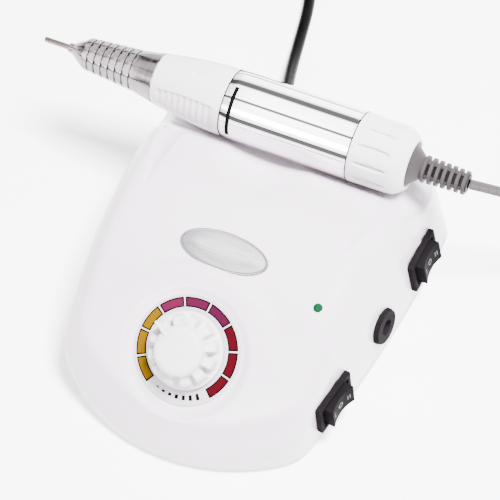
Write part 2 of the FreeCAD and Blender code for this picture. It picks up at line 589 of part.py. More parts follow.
def make_cable_boot():
    """The lead's strain relief: a flare inside the cap, then rings joined by four bars."""
    boot = turned([(43.55, 2.05), (43.55, 11.3), (45.45, 8.9), (48.6, 8.7), (BOOT_NECK_X, 4.3),
                   (BOOT_END_X - 1.8, 4.0), (BOOT_END_X - 1.8, 3.6), (BOOT_END_X, 3.6), (BOOT_END_X, 2.05)])
    starts = [BOOT_NECK_X + 0.3 + BOOT_RING_PITCH * i for i in range(BOOT_RINGS)]
    rings = [ring_x(x, x + 1.2, 5.3 - 0.12 * i, 3.0) for i, x in enumerate(starts)]
    windows = []
    for x, after in zip(starts, starts[1:]):
        for side in range(4):
            window = block(x + 1.3, after - 0.1, -2.1, 2.1, 2.5, 9)
            window.rotate(V(0, 0, 0), X_DIR, 35 + 90 * side)
            window.translate(V(0, AX_Y, AX_Z))
            windows.append(window)
    save("cable_boot", fused([cut_all(boot, windows)] + rings))


def make_handpiece_works():
    save("bit", turned([(TIP_X, 0), (TIP_X, 0.8), (TIP_X + 0.4, BIT_R), (BIT_END_X, BIT_R), (BIT_END_X, 0)]))
    jaw = turned([(CHUCK_X, 1.2), (CHUCK_X, 1.9), (NOSE_X + 0.6, 2.2), (-76.0, 2.2), (-76.0, 1.2)])
    slits = []
    for i in range(3):
        slit = block(CHUCK_X - 1, -80.0, AX_Y - 0.2, AX_Y + 0.2, AX_Z + 0.6, AX_Z + 4)
        slit.rotate(V(0, AX_Y, AX_Z), X_DIR, 30 + 120 * i)
        slits.append(slit)
    save("collet", cut_all(jaw, slits))
    save("spindle", turned([(-86.0, 2.21), (-86.0, 3.0), (-42.0, 3.0), (-42.0, 0), (-75.8, 0),
                            (-75.8, 2.21)]))
    bearings = []
    for x in (-74.2, -52.0):
        bearings.append(ring_x(x, x + 3.0, 3.9, 3.05))
        bearings.append(ring_x(x, x + 3.0, 5.4, 4.6))
        balls = around(Part.makeSphere(0.33, V(x + 1.5, AX_Y, AX_Z + 4.25)), 8, 0, X_DIR, V(0, AX_Y, AX_Z))
        bearings += balls
    save("spindle_bearings", Part.makeCompound(bearings))
    housing = turned([(-75.5, 4.3), (-75.5, 5.9), (-65.0, 6.9), (-52.5, 7.2), (-52.5, 8.6), (-24.5, 8.6),
                      (-24.5, 12.6), (-19.5, 12.6), (-19.5, 5.45), (-74.3, 5.45), (-74.3, 4.3)])
    save("bearing_housing", housing)
    save("cam_ring", ring_x(-34.0, -29.0, 10.15, 8.7))
    can = [ring_x(-19.0, 24.0, 12.6, 11.8), ring_x(-19.0, -17.8, 12.6, 3.5), ring_x(-19.4, -19.0, 5.0, 3.5)]
    save("motor_can", fused(can))
    magnet = ring_x(-13.0, 13.0, 11.75, 9.6)
    gap = block(-20, 20, AX_Y - 20, AX_Y + 20, AX_Z - 2.6, AX_Z + 2.6)
    save("motor_magnets", magnet.cut(gap))
    save("motor_end_cap", turned([(24.05, 3.5), (24.05, 12.6), (27.3, 12.6), (27.3, 11.3), (30.5, 11.3),
                                  (30.5, 3.5)]))
    armature = ring_x(-12.0, 12.0, 9.0)
    slot = block(-13, 13, AX_Y - 0.8, AX_Y + 0.8, AX_Z + 4.5, AX_Z + 10)
    slots = around(slot, 5, 0, X_DIR, V(0, AX_Y, AX_Z))
    save("armature", cut_all(armature, slots).cut(ring_x(-13, 13, 1.5)))
    save("motor_shaft", ring_x(-35.9, 30.0, 1.5))
    save("commutator", ring_x(14.0, 21.5, 4.2, 1.5))
    brushes = []
    for middle in (AX_Z - 7.8, AX_Z + 7.8):
        brushes.append(block(15.5, 19.5, AX_Y - 1.6, AX_Y + 1.6, middle - 3.5, middle + 3.5))
    save("carbon_brushes", Part.makeCompound(brushes))
    save("drive_coupling", ring_x(-41.9, -30.0, 4.2).cut(ring_x(-35.9, -29, 1.5)))


# ============================================================ cords
def cord_path(points):
    """Straight runs joined by tangent arcs, each as large as its two runs allow. Prints the radii."""
    edges, radii = [], []
    start = points[0]
    for before, here, after in zip(points, points[1:], points[2:]):
        a, b = (before - here), (after - here)
        reach = 0.45 * min(a.Length, b.Length)
        a.normalize()
        b.normalize()
        half_turn = (math.pi - math.acos(max(-1.0, min(1.0, a.dot(b))))) / 2
        radius = reach / math.tan(half_turn)
        middle = (a + b).normalize()
        centre = here + middle * (radius / math.cos(half_turn))
        p, q = here + a * reach, here + b * reach
        edges.append(Part.LineSegment(start, p).toShape())
        edges.append(Part.Arc(p, centre - middle * radius, q).toShape())
        radii.append(round(radius, 1))
        start = q
    edges.append(Part.LineSegment(start, points[-1]).toShape())
    return Part.Wire(edges), radii


def make_cord(name, points, diameter):
    path, radii = cord_path(points)
    way = points[1] - points[0]
    ring = Part.Wire(Part.Circle(points[0], way, diameter / 2).toShape())
    cord = path.makePipeShell([ring], True, False)
    expected = math.pi * diameter ** 2 / 4 * path.Length
    print(f"{name}: length {path.Length:.1f}, radii {radii}, volume ratio {cord.Volume / expected:.4f}")
    save(name, cord)


def make_coil(name, centre, mid_r, half, height):
    coil = tube(mid_r + half, mid_r - half, 0.05, height, centre.x, centre.y)
    rims = [e for e in coil.Edges if len(e.Vertexes) == 1]
    save(name, coil.makeFillet(half * 0.55, rims))


def make_mains():
    flange = Part.makeCylinder(6.2, 2.0, GLAND, Y_DIR)
    neck = Part.makeCylinder(4.5, 6.0, GLAND - Y_DIR * 5.5, Y_DIR)
    way = MAINS_ROUTE[1] - MAINS_ROUTE[0]
    tail = Part.makeLoft([Part.Wire(Part.Circle(GLAND + Y_DIR * 1.5, Y_DIR, 4.4).toShape()),
                          Part.Wire(Part.Circle(MAINS_ROUTE[0], way, 3.3).toShape())], True, True)
    save("mains_strain_relief", fused([neck, flange, tail]))
    make_cord("mains_cord", MAINS_ROUTE, MAINS_D)
    make_coil("mains_coil", MAINS_COIL_C, MAINS_COIL_MID, MAINS_COIL_HALF, MAINS_COIL_H)


def make_mains_plug():
    """A flat two-pin plug lying on its coil."""
    z = MAINS_COIL_H + 0.1
    y = MAINS_COIL_C.y
    x = MAINS_COIL_C.x - 12
    outline = Part.makePolygon([V(x, y - 5, z), V(x + 22, y - 12, z), V(x + 30, y - 13, z),
                                V(x + 30, y + 13, z), V(x + 22, y + 12, z), V(x, y + 5, z), V(x, y - 5, z)])
    body = Part.Face(outline).extrude(V(0, 0, 13))
    save("mains_plug", body.makeFillet(3.0, body.Edges))
    pins = []
    for dy in (-9.5, 9.5):
        pin = Part.makeCylinder(2.0, 19, V(x + 30, y + dy, z + 6.5), X_DIR)
        pins.append(pin.makeFillet(1.2, [e for e in pin.Edges if e.BoundBox.XMin > x + 48.9]))
    save("mains_pins", Part.makeCompound(pins))


def make_lead():
    make_cord("handpiece_lead", LEAD_ROUTE, LEAD_D)
    make_coil("lead_coil", LEAD_COIL_C, LEAD_COIL_MID, LEAD_COIL_HALF, LEAD_COIL_H)
    x, y, z = LEAD_COIL_C.x - 22, LEAD_COIL_C.y, LEAD_COIL_H + 5.2
    tail = Part.makeCone(2.6, 5.0, 10, V(x - 10, y, z), X_DIR)
    save("lead_plug", fused([Part.makeCylinder(5.0, 20, V(x, y, z), X_DIR), tail]))
    save("lead_plug_barrel", Part.makeCylinder(2.75, 11, V(x + 20, y, z), X_DIR))


def main():
    os.makedirs(PARTS, exist_ok=True)
    save("top_shell", make_top_shell())
    save("base_plate", make_base_plate())
    save("rubber_feet", make_feet())
    save("case_screws", make_case_screws())
    make_dial()
    make_switch("power", wall_place(POWER_Y, FITTING_Z))
    make_switch("direction", wall_place(DIRECTION_Y, FITTING_Z))
    make_socket(wall_place(SOCKET_Y, FITTING_Z))
    make_badge(face_place(0.0, BADGE_Y))
    make_led(face_place(LED_X, LED_Y))
    make_power_supply()
    make_board()
    make_nose_cone()
    make_grip_sleeve()
    make_barrel()
    make_rear_cap()
    make_cable_boot()
    make_handpiece_works()
    make_mains()
    make_mains_plug()
    make_lead()


main()
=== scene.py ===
"""Looks of a desktop electric nail drill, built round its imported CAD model.

The frame is in metres, +Z up: +X is the box's switch side and -Y its front. Shapes below are worked out in
millimetres, each in a place of its own (see Places), and become metres when their mesh is made.
"""
import math

import bmesh
import bpy
from mathutils import Matrix, Vector as V


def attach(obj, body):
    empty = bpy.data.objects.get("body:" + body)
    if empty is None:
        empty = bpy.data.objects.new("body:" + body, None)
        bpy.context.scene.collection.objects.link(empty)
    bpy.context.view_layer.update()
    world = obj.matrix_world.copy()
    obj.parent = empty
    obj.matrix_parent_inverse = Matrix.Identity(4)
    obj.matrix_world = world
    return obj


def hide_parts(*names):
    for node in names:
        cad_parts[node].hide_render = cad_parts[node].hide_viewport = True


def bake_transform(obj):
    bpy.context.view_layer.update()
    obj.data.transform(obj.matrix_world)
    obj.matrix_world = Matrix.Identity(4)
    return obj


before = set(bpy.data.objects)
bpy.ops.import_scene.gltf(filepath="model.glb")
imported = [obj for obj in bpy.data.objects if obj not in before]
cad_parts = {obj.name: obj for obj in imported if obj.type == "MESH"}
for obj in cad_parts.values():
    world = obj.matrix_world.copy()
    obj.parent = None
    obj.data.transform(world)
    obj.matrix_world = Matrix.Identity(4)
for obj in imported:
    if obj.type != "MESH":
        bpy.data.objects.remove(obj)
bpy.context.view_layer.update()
MM = 0.001
AX_Y, AX_Z = 49.0, 57.0             # the handpiece's axis
UP, RIGHT, REAR = V((0, 0, 1)), V((1, 0, 0)), V((0, 1, 0))


# ============================================================ camera and cords
CAMERA_TURN, CAMERA_RISE, CAMERA_ROLL = math.radians(28.21), math.radians(55.91), math.radians(-3.92)
CAMERA_AIM, CAMERA_AWAY, CAMERA_LENS = V((0.0, 0.0083, 0.0259)), 0.6972, 130.5


def make_camera():
    camera = bpy.data.objects.new("camera", bpy.data.cameras.new("camera"))
    bpy.context.scene.collection.objects.link(camera)
    camera.data.lens = CAMERA_LENS
    camera.data.clip_start = 0.02
    look = Matrix.Rotation(CAMERA_TURN, 4, "Z") @ Matrix.Rotation(math.pi / 2 - CAMERA_RISE, 4, "X")
    look = look @ Matrix.Rotation(CAMERA_ROLL, 4, "Z")
    camera.matrix_world = Matrix.Translation(CAMERA_AIM + look.col[2].to_3d() * CAMERA_AWAY) @ look
    bpy.context.scene.camera = camera


MAINS_D, LEAD_D = 5.2, 4.0
MAINS_ROUTE = [(-24.6, 96.0, 10.4), (-29.0, 109.0, 5.6), (-33.5, 128.0, 2.7), (-38.3, 151.0, 2.7),
               (-45.0, 167.0, 2.7), (-50.0, 182.0, 2.7)]
MAINS_COIL_MID, LEAD_COIL_MID, COIL_TURNS = 29.5, 23.0, 8
LEAD_THICKNESS, LEAD_GROOVE, LEAD_GROOVE_W = 0.85, 0.48, 0.24   # as shares of half its width
LEAD_SIDES = 24
LEAD_ROUTE = [(72.5, 49.0, 57.0), (83.5, 51.0, 56.0), (95.0, 56.0, 49.5), (105.0, 62.5, 37.0),
              (113.0, 70.5, 22.5), (120.0, 80.0, 9.0), (129.5, 90.0, 2.1), (142.0, 100.5, 2.1),
              (150.0, 116.0, 2.1)]
COIL_STEPS = 16                     # points to a turn
ROW_RISE = 0.9                      # height of one row of turns above the last, in cord diameters


def coil(centre, mid, diameter, start, way, turns):
    """Points of a coil wound in rows of three and two turns, from its outer bottom turn on."""
    slots = []
    for row in range(4):
        across = (1, 0, -1) if row % 2 == 0 else (-0.5, 0.5)
        slots += [(mid + a * diameter, diameter * (0.52 + ROW_RISE * row)) for a in across]
    points = []
    for i in range(1, turns * COIL_STEPS + 1):
        turn, part = divmod(i, COIL_STEPS)
        shift = max(0.0, (part / COIL_STEPS - 0.7) / 0.3)
        shift = shift * shift * (3 - 2 * shift)
        here, after = slots[turn], slots[min(turn + 1, turns - 1)]
        radius = here[0] + (after[0] - here[0]) * shift
        angle = start + way * math.tau * i / COIL_STEPS
        points.append((centre[0] + radius * math.cos(angle), centre[1] + radius * math.sin(angle),
                       here[1] + (after[1] - here[1]) * shift))
    return points


def cord_line(name, points, radius):
    """A smooth open line through the route's control points, in metres."""
    data = bpy.data.curves.new(name, "CURVE")
    data.dimensions = "3D"
    data.resolution_u = 6
    data.bevel_depth = 1.0
    data.bevel_resolution = 6
    data.use_fill_caps = True
    line = data.splines.new("NURBS")
    line.points.add(len(points) - 1)
    for point, place in zip(line.points, points):
        point.co = (*(V(place) * MM), 1)
        point.radius = radius * MM
    line.order_u = 3
    line.use_endpoint_u = True
    cord = bpy.data.objects.new(name, data)
    bpy.context.scene.collection.objects.link(cord)
    return cord


def line_points(cord):
    """The points that the smooth line runs through."""
    bpy.context.view_layer.update()
    mesh = bpy.data.meshes.new_from_object(cord)
    places = [v.co.copy() for v in mesh.vertices]
    bpy.data.meshes.remove(mesh)
    return places


def make_mains():
    centre = (MAINS_ROUTE[-1][0] - MAINS_COIL_MID - MAINS_D, MAINS_ROUTE[-1][1])
    turns = coil(centre, MAINS_COIL_MID, MAINS_D, 0.0, 1, COIL_TURNS)
    cord = cord_line("mains_flex", MAINS_ROUTE + turns, MAINS_D / 2)
    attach(cord, "box")
    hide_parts("mains_cord", "mains_coil")
    return cord


def make_lead():
    """The twin-core lead: a tube of two lobes swept along the route's line."""
    centre = (LEAD_ROUTE[-1][0] - LEAD_COIL_MID - LEAD_D, LEAD_ROUTE[-1][1])
    turns = coil(centre, LEAD_COIL_MID, LEAD_D, 0.0, 1, COIL_TURNS)
    guide = cord_line("lead_guide", LEAD_ROUTE + turns, 0)
    path = line_points(guide)
    bpy.data.objects.remove(guide)
    wide = LEAD_D / 2 * MM
    thick = wide * LEAD_THICKNESS
    rows = []
    for i, place in enumerate(path):
        ahead = (path[min(i + 1, len(path) - 1)] - path[max(i - 1, 0)]).normalized()
        side = ahead.cross(UP).normalized()
        over = side.cross(ahead)
        ring = []
        for k in range(LEAD_SIDES):
            a = math.tau * k / LEAD_SIDES
            waist = 1 - LEAD_GROOVE * math.exp(-(math.cos(a) / LEAD_GROOVE_W) ** 2)
            ring.append((place + side * wide * math.cos(a) + over * thick * waist * math.sin(a)) / MM)
        rows.append(ring)
    lead = piece("lead", skin(rows, caps=True), "lead_rubber", None)
    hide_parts("handpiece_lead", "lead_coil")
    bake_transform(lead)


# ============================================================ finishes
class Finish:
    """A shader with detail worked out from the place on the piece, in metres."""

    def __init__(self, name, colour, roughness, **values):
        self.name = name
        self.material = bpy.data.materials.new(name)
        self.material.use_nodes = True
        self.tree = self.material.node_tree
        self.shader = self.tree.nodes["Principled BSDF"]
        self.set("Base Color", (*colour, 1.0))
        self.set("Roughness", roughness)
        for key, value in values.items():
            self.set(key.replace("_", " "), value)
        self.place = self.tree.nodes.new("ShaderNodeTexCoord").outputs["Object"]
        self.material.diffuse_color = (*colour, 1.0)

    def set(self, socket, value):
        self.shader.inputs[socket].default_value = value

    def node(self, kind, **inputs):
        node = self.tree.nodes.new(kind)
        for key, value in inputs.items():
            socket = node.inputs[key.replace("_", " ")]
            if isinstance(value, bpy.types.NodeSocket):
                self.tree.links.new(value, socket)
            else:
                socket.default_value = value
        return node

    def noise(self, scale, detail=3.0, stretch=(1, 1, 1), distortion=0.0):
        mapping = self.node("ShaderNodeMapping", Vector=self.place, Scale=stretch)
        noise = self.node("ShaderNodeTexNoise", Vector=mapping.outputs[0], Scale=scale, Detail=detail,
                          Distortion=distortion)
        return noise.outputs["Fac"]

    def colours(self, source, low, high, start=0.35, end=0.65):
        ramp = self.node("ShaderNodeValToRGB", Fac=source)
        for stop, at, colour in zip(ramp.color_ramp.elements, (start, end), (low, high)):
            stop.position = at
            stop.color = (*colour, 1.0)
        self.tree.links.new(ramp.outputs["Color"], self.shader.inputs["Base Color"])
        return self

    def rough(self, source, low, high):
        spread = self.node("ShaderNodeMapRange", Value=source, From_Min=0.3, From_Max=0.7, To_Min=low,
                           To_Max=high)
        self.tree.links.new(spread.outputs[0], self.shader.inputs["Roughness"])
        return self

    def bump(self, source, height, strength=1.0):
        """height is in millimetres."""
        bump = self.node("ShaderNodeBump", Height=source, Distance=height * MM, Strength=strength)
        last = self.shader.inputs["Normal"]
        if last.is_linked:
            self.tree.links.new(last.links[0].from_socket, bump.inputs["Normal"])
        self.tree.links.new(bump.outputs[0], last)
        return self


def moulded(name, colour, roughness, mottle=0.02, grain=260.0, depth=0.02, **values):
    """Moulded plastic or rubber: a fine skin, a faint drift of colour and uneven gloss."""
    finish = Finish(name, colour, roughness, **values)
    drift = finish.noise(38.0, 2.0)
    finish.colours(drift, [c * (1 - mottle) for c in colour], [min(1.0, c * (1 + mottle)) for c in colour])
    finish.rough(finish.noise(90.0, 4.0), roughness * 0.85, roughness * 1.2)
    return finish.bump(finish.noise(grain, 4.0), depth, 0.5)


def turned_metal(name, colour, roughness, stretch, depth=0.01, **values):
    """Metal with fine tool marks that run across the stretched direction."""
    finish = Finish(name, colour, roughness, Metallic=1.0, **values)
    marks = finish.noise(60.0, 5.0, stretch)
    finish.colours(marks, [c * 0.86 for c in colour], [min(1.0, c * 1.06) for c in colour])
    finish.rough(finish.noise(140.0, 3.0, stretch), roughness * 0.7, roughness * 1.35)
    return finish.bump(marks, depth, 0.4)


BOOT_GREY = (0.038, 0.032, 0.034)


def make_boot_finish_with_painted_shade():
    """The boot's rubber, with painted shade: its colour darkens towards the axis, down in the gaps between
    its rings.
    """
    boot = moulded("boot_rubber", BOOT_GREY, 0.45, 0.06, 700.0, 0.03, Specular_IOR_Level=0.15)
    to_axis = boot.node("ShaderNodeMapping", Vector=boot.place, Location=(0.0, -AX_Y * MM, -AX_Z * MM),
                        Scale=(0.0, 1.0, 1.0))
    radius = boot.node("ShaderNodeVectorMath", Vector=to_axis.outputs[0])
    radius.operation = "LENGTH"
    # painted shade: the colour falls to near black nearer the axis, in the gaps between the rings
    depth = boot.node("ShaderNodeMapRange", Value=radius.outputs["Value"], From_Min=0.0030, From_Max=0.0044,
                      To_Min=0.06, To_Max=1.0)
    shade = boot.node("ShaderNodeVectorMath")
    shade.operation = "SCALE"
    base = boot.shader.inputs["Base Color"]
    boot.tree.links.new(base.links[0].from_socket, shade.inputs[0])
    boot.tree.links.new(depth.outputs[0], shade.inputs["Scale"])
    boot.tree.links.new(shade.outputs[0], base)
    return boot


def make_finishes():
    along, around = (1.0, 45.0, 45.0), (45.0, 1.0, 1.0)
    made = [
        moulded("box_white", (0.61, 0.55, 0.605), 0.22, 0.012, 420.0, 0.012, Coat_Weight=0.25,
                Coat_Roughness=0.12),
        moulded("base_grey", (0.55, 0.55, 0.56), 0.5, 0.03, 900.0, 0.03),
        moulded("knob_white", (0.63, 0.595, 0.625), 0.3, 0.012, 700.0, 0.012),
        moulded("grip_white", (0.66, 0.62, 0.645), 0.3, 0.012, 600.0, 0.012, Coat_Weight=0.15,
                Coat_Roughness=0.2),
        moulded("label_white", (0.44, 0.415, 0.44), 0.4, 0.01, 900.0, 0.006),
        moulded("foot_rubber", (0.01, 0.01, 0.01), 0.75, 0.15, 900.0, 0.06, Specular_IOR_Level=0.2),
        moulded("switch_black", (0.0065, 0.0056, 0.0066), 0.5, 0.2, 1500.0, 0.02, Specular_IOR_Level=0.004),
        # painted shade: a near-black finish put down in the barrel's slot and in the joint gaps, where shade
        # falls
        moulded("well_black", (0.002, 0.002, 0.002), 0.7, 0.2, 900.0, 0.02, Specular_IOR_Level=0.05),
        moulded("mark_white", (0.03, 0.029, 0.031), 0.5, 0.03, 900.0, 0.01),
        moulded("outline_black", (0.003, 0.002, 0.003), 0.5, 0.1, 900.0, 0.006, Specular_IOR_Level=0.0),
        moulded("field_yellow", (0.112, 0.057, 0.0002), 0.42, 0.05, 900.0, 0.006, Specular_IOR_Level=0.02),
        moulded("field_magenta", (0.066, 0.006, 0.024), 0.42, 0.06, 900.0, 0.006, Specular_IOR_Level=0.02),
        moulded("field_plum", (0.048, 0.0042, 0.019), 0.42, 0.06, 900.0, 0.006, Specular_IOR_Level=0.02),
        moulded("field_purple", (0.040, 0.0035, 0.017), 0.42, 0.06, 900.0, 0.006, Specular_IOR_Level=0.02),
        moulded("field_red", (0.038, 0.0010, 0.0033), 0.42, 0.06, 900.0, 0.006, Specular_IOR_Level=0.02),
        moulded("boot_grey", BOOT_GREY, 0.45, 0.06, 700.0, 0.03, Specular_IOR_Level=0.15),
        moulded("lead_rubber", (0.058, 0.050, 0.053), 0.42, 0.05, 500.0, 0.03, Specular_IOR_Level=0.2),
        moulded("mains_black", (0.0008, 0.0007, 0.0008), 0.3, 0.2, 500.0, 0.03, Specular_IOR_Level=0.06),
        moulded("part_black", (0.012, 0.012, 0.014), 0.45, 0.1, 700.0, 0.03, Specular_IOR_Level=0.3),
        moulded("tape_yellow", (0.45, 0.28, 0.03), 0.4, 0.08, 500.0, 0.03),
        moulded("board_green", (0.01, 0.09, 0.03), 0.35, 0.15, 700.0, 0.03),
        moulded("carbon", (0.02, 0.02, 0.02), 0.6, 0.2, 900.0, 0.03),
        turned_metal("nose_steel", (0.20, 0.181, 0.188), 0.2, (12.0, 1.0, 1.0), 0.002),
        turned_metal("barrel_steel", (0.86, 0.835, 0.855), 0.03, along, 0.0006),
        turned_metal("bright_metal", (0.20, 0.195, 0.20), 0.15, along, 0.004),
        turned_metal("badge_silver", (0.40, 0.385, 0.40), 0.3, (1.0, 30.0, 30.0), 0.002, Coat_Weight=0.1,
                     Coat_Roughness=0.05),
        turned_metal("bit_steel", (0.22, 0.18, 0.17), 0.2, around, 0.006),
        turned_metal("plain_steel", (0.50, 0.50, 0.51), 0.35, along, 0.01),
        turned_metal("brass", (0.68, 0.50, 0.22), 0.28, along, 0.008),
        turned_metal("copper", (0.70, 0.36, 0.20), 0.3, along, 0.008),
        turned_metal("fin_aluminium", (0.66, 0.67, 0.68), 0.4, along, 0.01),
    ]
    lens = moulded("lens_green", (0.0006, 0.033, 0.010), 0.12, 0.1, 300.0, 0.01, Specular_IOR_Level=0.05)
    lens.set("Emission Color", (0.001, 0.3, 0.07, 1.0))
    lens.set("Emission Strength", 0.1)
    boot = make_boot_finish_with_painted_shade()
    glass = moulded("fuse_glass", (0.9, 0.9, 0.9), 0.05, 0.02, 300.0, 0.005)
    glass.set("Transmission Weight", 0.9)
    floor = moulded("floor_white", (0.93, 0.93, 0.93), 0.6, 0.01, 60.0, 0.02)
    floor.set("Emission Color", (1.0, 1.0, 1.0, 1.0))
    floor.set("Emission Strength", FLOOR_GLOW)
    return {finish.name: finish.material for finish in made + [lens, glass, boot, floor]}


# Which finish each CAD node takes where it stays in view or inside the box.
NODE_FINISH = {
    "base_plate": "base_grey", "rubber_feet": "foot_rubber", "case_screws": "plain_steel",
    "pot_shaft": "brass", "pot_nut": "bright_metal", "pot_body": "plain_steel",
    "power_switch_blades": "brass", "direction_switch_blades": "brass", "socket_body": "part_black",
    "transformer_core": "plain_steel", "transformer_winding": "tape_yellow",
    "transformer_strap": "plain_steel", "transformer_screws": "plain_steel",
    "control_board": "board_green", "board_screws": "plain_steel",
    "capacitors": "part_black", "power_transistor": "part_black", "heat_sink": "fin_aluminium",
    "fuse": "fuse_glass", "fuse_clips": "brass", "cable_boot": "boot_rubber",
    "bearing_housing": "fin_aluminium",
    "spindle_bearings": "bright_metal", "spindle": "plain_steel", "collet": "bit_steel", "cam_ring": "brass",
    "motor_can": "plain_steel", "motor_magnets": "carbon", "motor_end_cap": "part_black",
    "armature": "plain_steel", "motor_shaft": "bright_metal", "commutator": "copper",
    "carbon_brushes": "carbon",
    "drive_coupling": "brass", "mains_strain_relief": "mains_black", "mains_plug": "mains_black",
    "mains_pins": "bright_metal", "lead_plug": "boot_grey", "lead_plug_barrel": "bright_metal",
}


def finish_cad_nodes():
    for node, name in NODE_FINISH.items():
        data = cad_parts[node].data
        data.materials.clear()
        data.materials.append(finishes[name])


# ============================================================ meshes
def skin(rows, wrap_rows=False, caps=False):
    """Points and faces of a surface through rows of points; each row closes on itself."""
    count, wide = len(rows), len(rows[0])
    points = [tuple(p) for row in rows for p in row]
    faces = []
    for i in range(count if wrap_rows else count - 1):
        a, b = i * wide, (i + 1) % count * wide
        for k in range(wide):
            n = (k + 1) % wide
            faces.append((a + k, a + n, b + n, b + k))
    if caps:
        faces.append(tuple(range(wide))[::-1])
        faces.append(tuple(range((count - 1) * wide, count * wide)))
    return points, faces


def piece(name, shape, finish, body, place=None, bevel=0.0, sharp=35.0, paint=None):
    """A piece from a shape in millimetres. paint gives a face's middle another finish by its index."""
    points, faces = shape
    mesh = bpy.data.meshes.new(name)
    to_metres = (place or Matrix.Identity(4)) @ Matrix.Scale(MM, 4)
    mesh.from_pydata([to_metres @ V(p) for p in points], [], faces)
    mesh.validate()
    for material in ([finish] if isinstance(finish, str) else finish):
        mesh.materials.append(finishes[material])
    if paint:
        for face in mesh.polygons:
            corners = [V(points[i]) for i in face.vertices]
            face.material_index = paint(sum(corners, V((0, 0, 0))) / len(corners))
    obj = bpy.data.objects.new(name, mesh)
    bpy.context.scene.collection.objects.link(obj)
    recalculate(mesh)
    mesh.shade_smooth()
    mesh.set_sharp_from_angle(angle=math.radians(sharp))
    if bevel:
        rounding = obj.modifiers.new("rounding", "BEVEL")
        rounding.width = bevel * MM
        rounding.segments = 3
        rounding.limit_method = "ANGLE"
        rounding.angle_limit = math.radians(sharp)
        even = obj.modifiers.new("even", "WEIGHTED_NORMAL")
        even.keep_sharp = True
    if body:
        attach(obj, body)
    return obj


def recalculate(mesh):
    """Turns every face outwards."""
    made = bmesh.new()
    made.from_mesh(mesh)
    bmesh.ops.recalc_face_normals(made, faces=made.faces)
    made.to_mesh(mesh)
    made.free()


def settle(obj):
    """Applies a piece's modifiers."""
    graph = bpy.context.evaluated_depsgraph_get()
    mesh = bpy.data.meshes.new_from_object(obj.evaluated_get(graph))
    obj.modifiers.clear()
    obj.data = mesh


def joined(*shapes):
    """Several closed shapes as one."""
    points, faces = [], []
    for more, others in shapes:
        start = len(points)
        points += more
        faces += [tuple(i + start for i in face) for face in others]
    return points, faces


def lathe(profile, sides=96, shape=None):
    """A closed turning about Z of a loop of (height, radius); shape changes a radius by its angle."""
    rows = []
    for height, radius in profile:
        ring = []
        for k in range(sides):
            a = math.tau * k / sides
            r = shape(height, radius, a) if shape else radius
            ring.append((r * math.cos(a), r * math.sin(a), height))
        rows.append(ring)
    on_axis = profile[0][1] < 1e-6 and profile[-1][1] < 1e-6
    if not on_axis:
        return skin(rows, wrap_rows=True)
    points, faces = skin(rows[1:-1])
    first, last = len(points), len(points) + 1
    points += [(0, 0, profile[0][0]), (0, 0, profile[-1][0])]
    end = (len(rows) - 3) * sides
    for k in range(sides):
        faces.append((first, (k + 1) % sides, k))
        faces.append((last, end + k, end + (k + 1) % sides))
    return points, faces


def box(x0, x1, y0, y1, z0, z1):
    corners = [(x, y, z) for z in (z0, z1) for x, y in ((x0, y0), (x1, y0), (x1, y1), (x0, y1))]
    return corners, [(3, 2, 1, 0), (4, 5, 6, 7), (0, 1, 5, 4), (1, 2, 6, 5), (2, 3, 7, 6), (3, 0, 4, 7)]


def moved(shape, matrix):
    return [tuple(matrix @ V(p)) for p in shape[0]], shape[1]


def smooth_step(t):
    t = min(1.0, max(0.0, t))
    return t * t * (3 - 2 * t)


def rounded_rectangle(half_x, half_y, radius, height, steps=6):
    ring = []
    for k, (sx, sy) in enumerate(((1, 1), (-1, 1), (-1, -1), (1, -1))):
        for i in range(steps + 1):
            a = math.pi / 2 * (k + i / steps)
            ring.append((sx * (half_x - radius) + radius * math.cos(a),
                         sy * (half_y - radius) + radius * math.sin(a), height))
    return ring


# ============================================================ the box's shape, as in the CAD
FOOT_Z, CAP_Z = 2.5, 60.0
FOOT_OUTLINE = dict(half_w=62.4, side_r=498.0, side_y=56.4, front_y=-75.0, front_r=72.8,
                    rear_y=75.0, rear_r=260.0, front_corner=18.6, rear_corner=13.0)
CAP_OUTLINE = dict(half_w=51.5, side_r=900.0, side_y=25.0, front_y=-72.0, front_r=95.0,
                   rear_y=74.0, rear_r=260.0, front_corner=15.0, rear_corner=24.0)
EDGE_OUTLINE = dict(half_w=55.4, side_r=900.0, side_y=45.0, front_y=-74.0, front_r=76.0,
                    rear_y=70.0, rear_r=260.0, front_corner=18.0, rear_corner=18.0)
FACE_R, CREST_Y, CREST_Z = 105.0, 15.0, 55.5
FACE_MAX_SLOPE = math.radians(38.0)
CROWN_R = 420.0
BEVEL_W, BEVEL_SLOPE, BEVEL_SOFT = 6.5, 1.15, 1.5
TROUGH_R, TROUGH_SLOPE, TROUGH_SOFT = 16.75, math.radians(60.0), 6.0
REAR_LIP_Z, LIP_SOFT = 46.5, 4.0
SCOOP_X, SCOOP_Y, SCOOP_RX, SCOOP_RY, SCOOP_DEPTH = -4.0, 30.0, 18.5, 15.0, 3.0
FLUTE_X, FLUTE_TOP_Y, FLUTE_LOW_Y, FLUTE_HALF_W, FLUTE_DEPTH = 43.3, 34.0, 0.0, 6.0, 1.6
FLUTE_BOW, SCOOP_SOFT, FLUTE_SOFT = 4.0, 0.06, 0.08
BARREL_R, REST_GAP = 13.75, 0.3
DIAL_Y, DIAL_SLOPE, DIAL_SINK, DIAL_RIM = -46.8, math.radians(35.6), 2.2, 1.1
POCKET_FLOOR_R, POCKET_R = 21.4, 25.4
POWER_Y, SOCKET_Y, DIRECTION_Y, FITTING_Z, FITTING_GAP = 36.3, 2.5, -34.9, 16.5, 0.12
LED_X, LED_Y, LENS_R = 40.4, -18.1, 1.7
BADGE_Y, BADGE_A, BADGE_B = -11.8, 17.5, 7.4


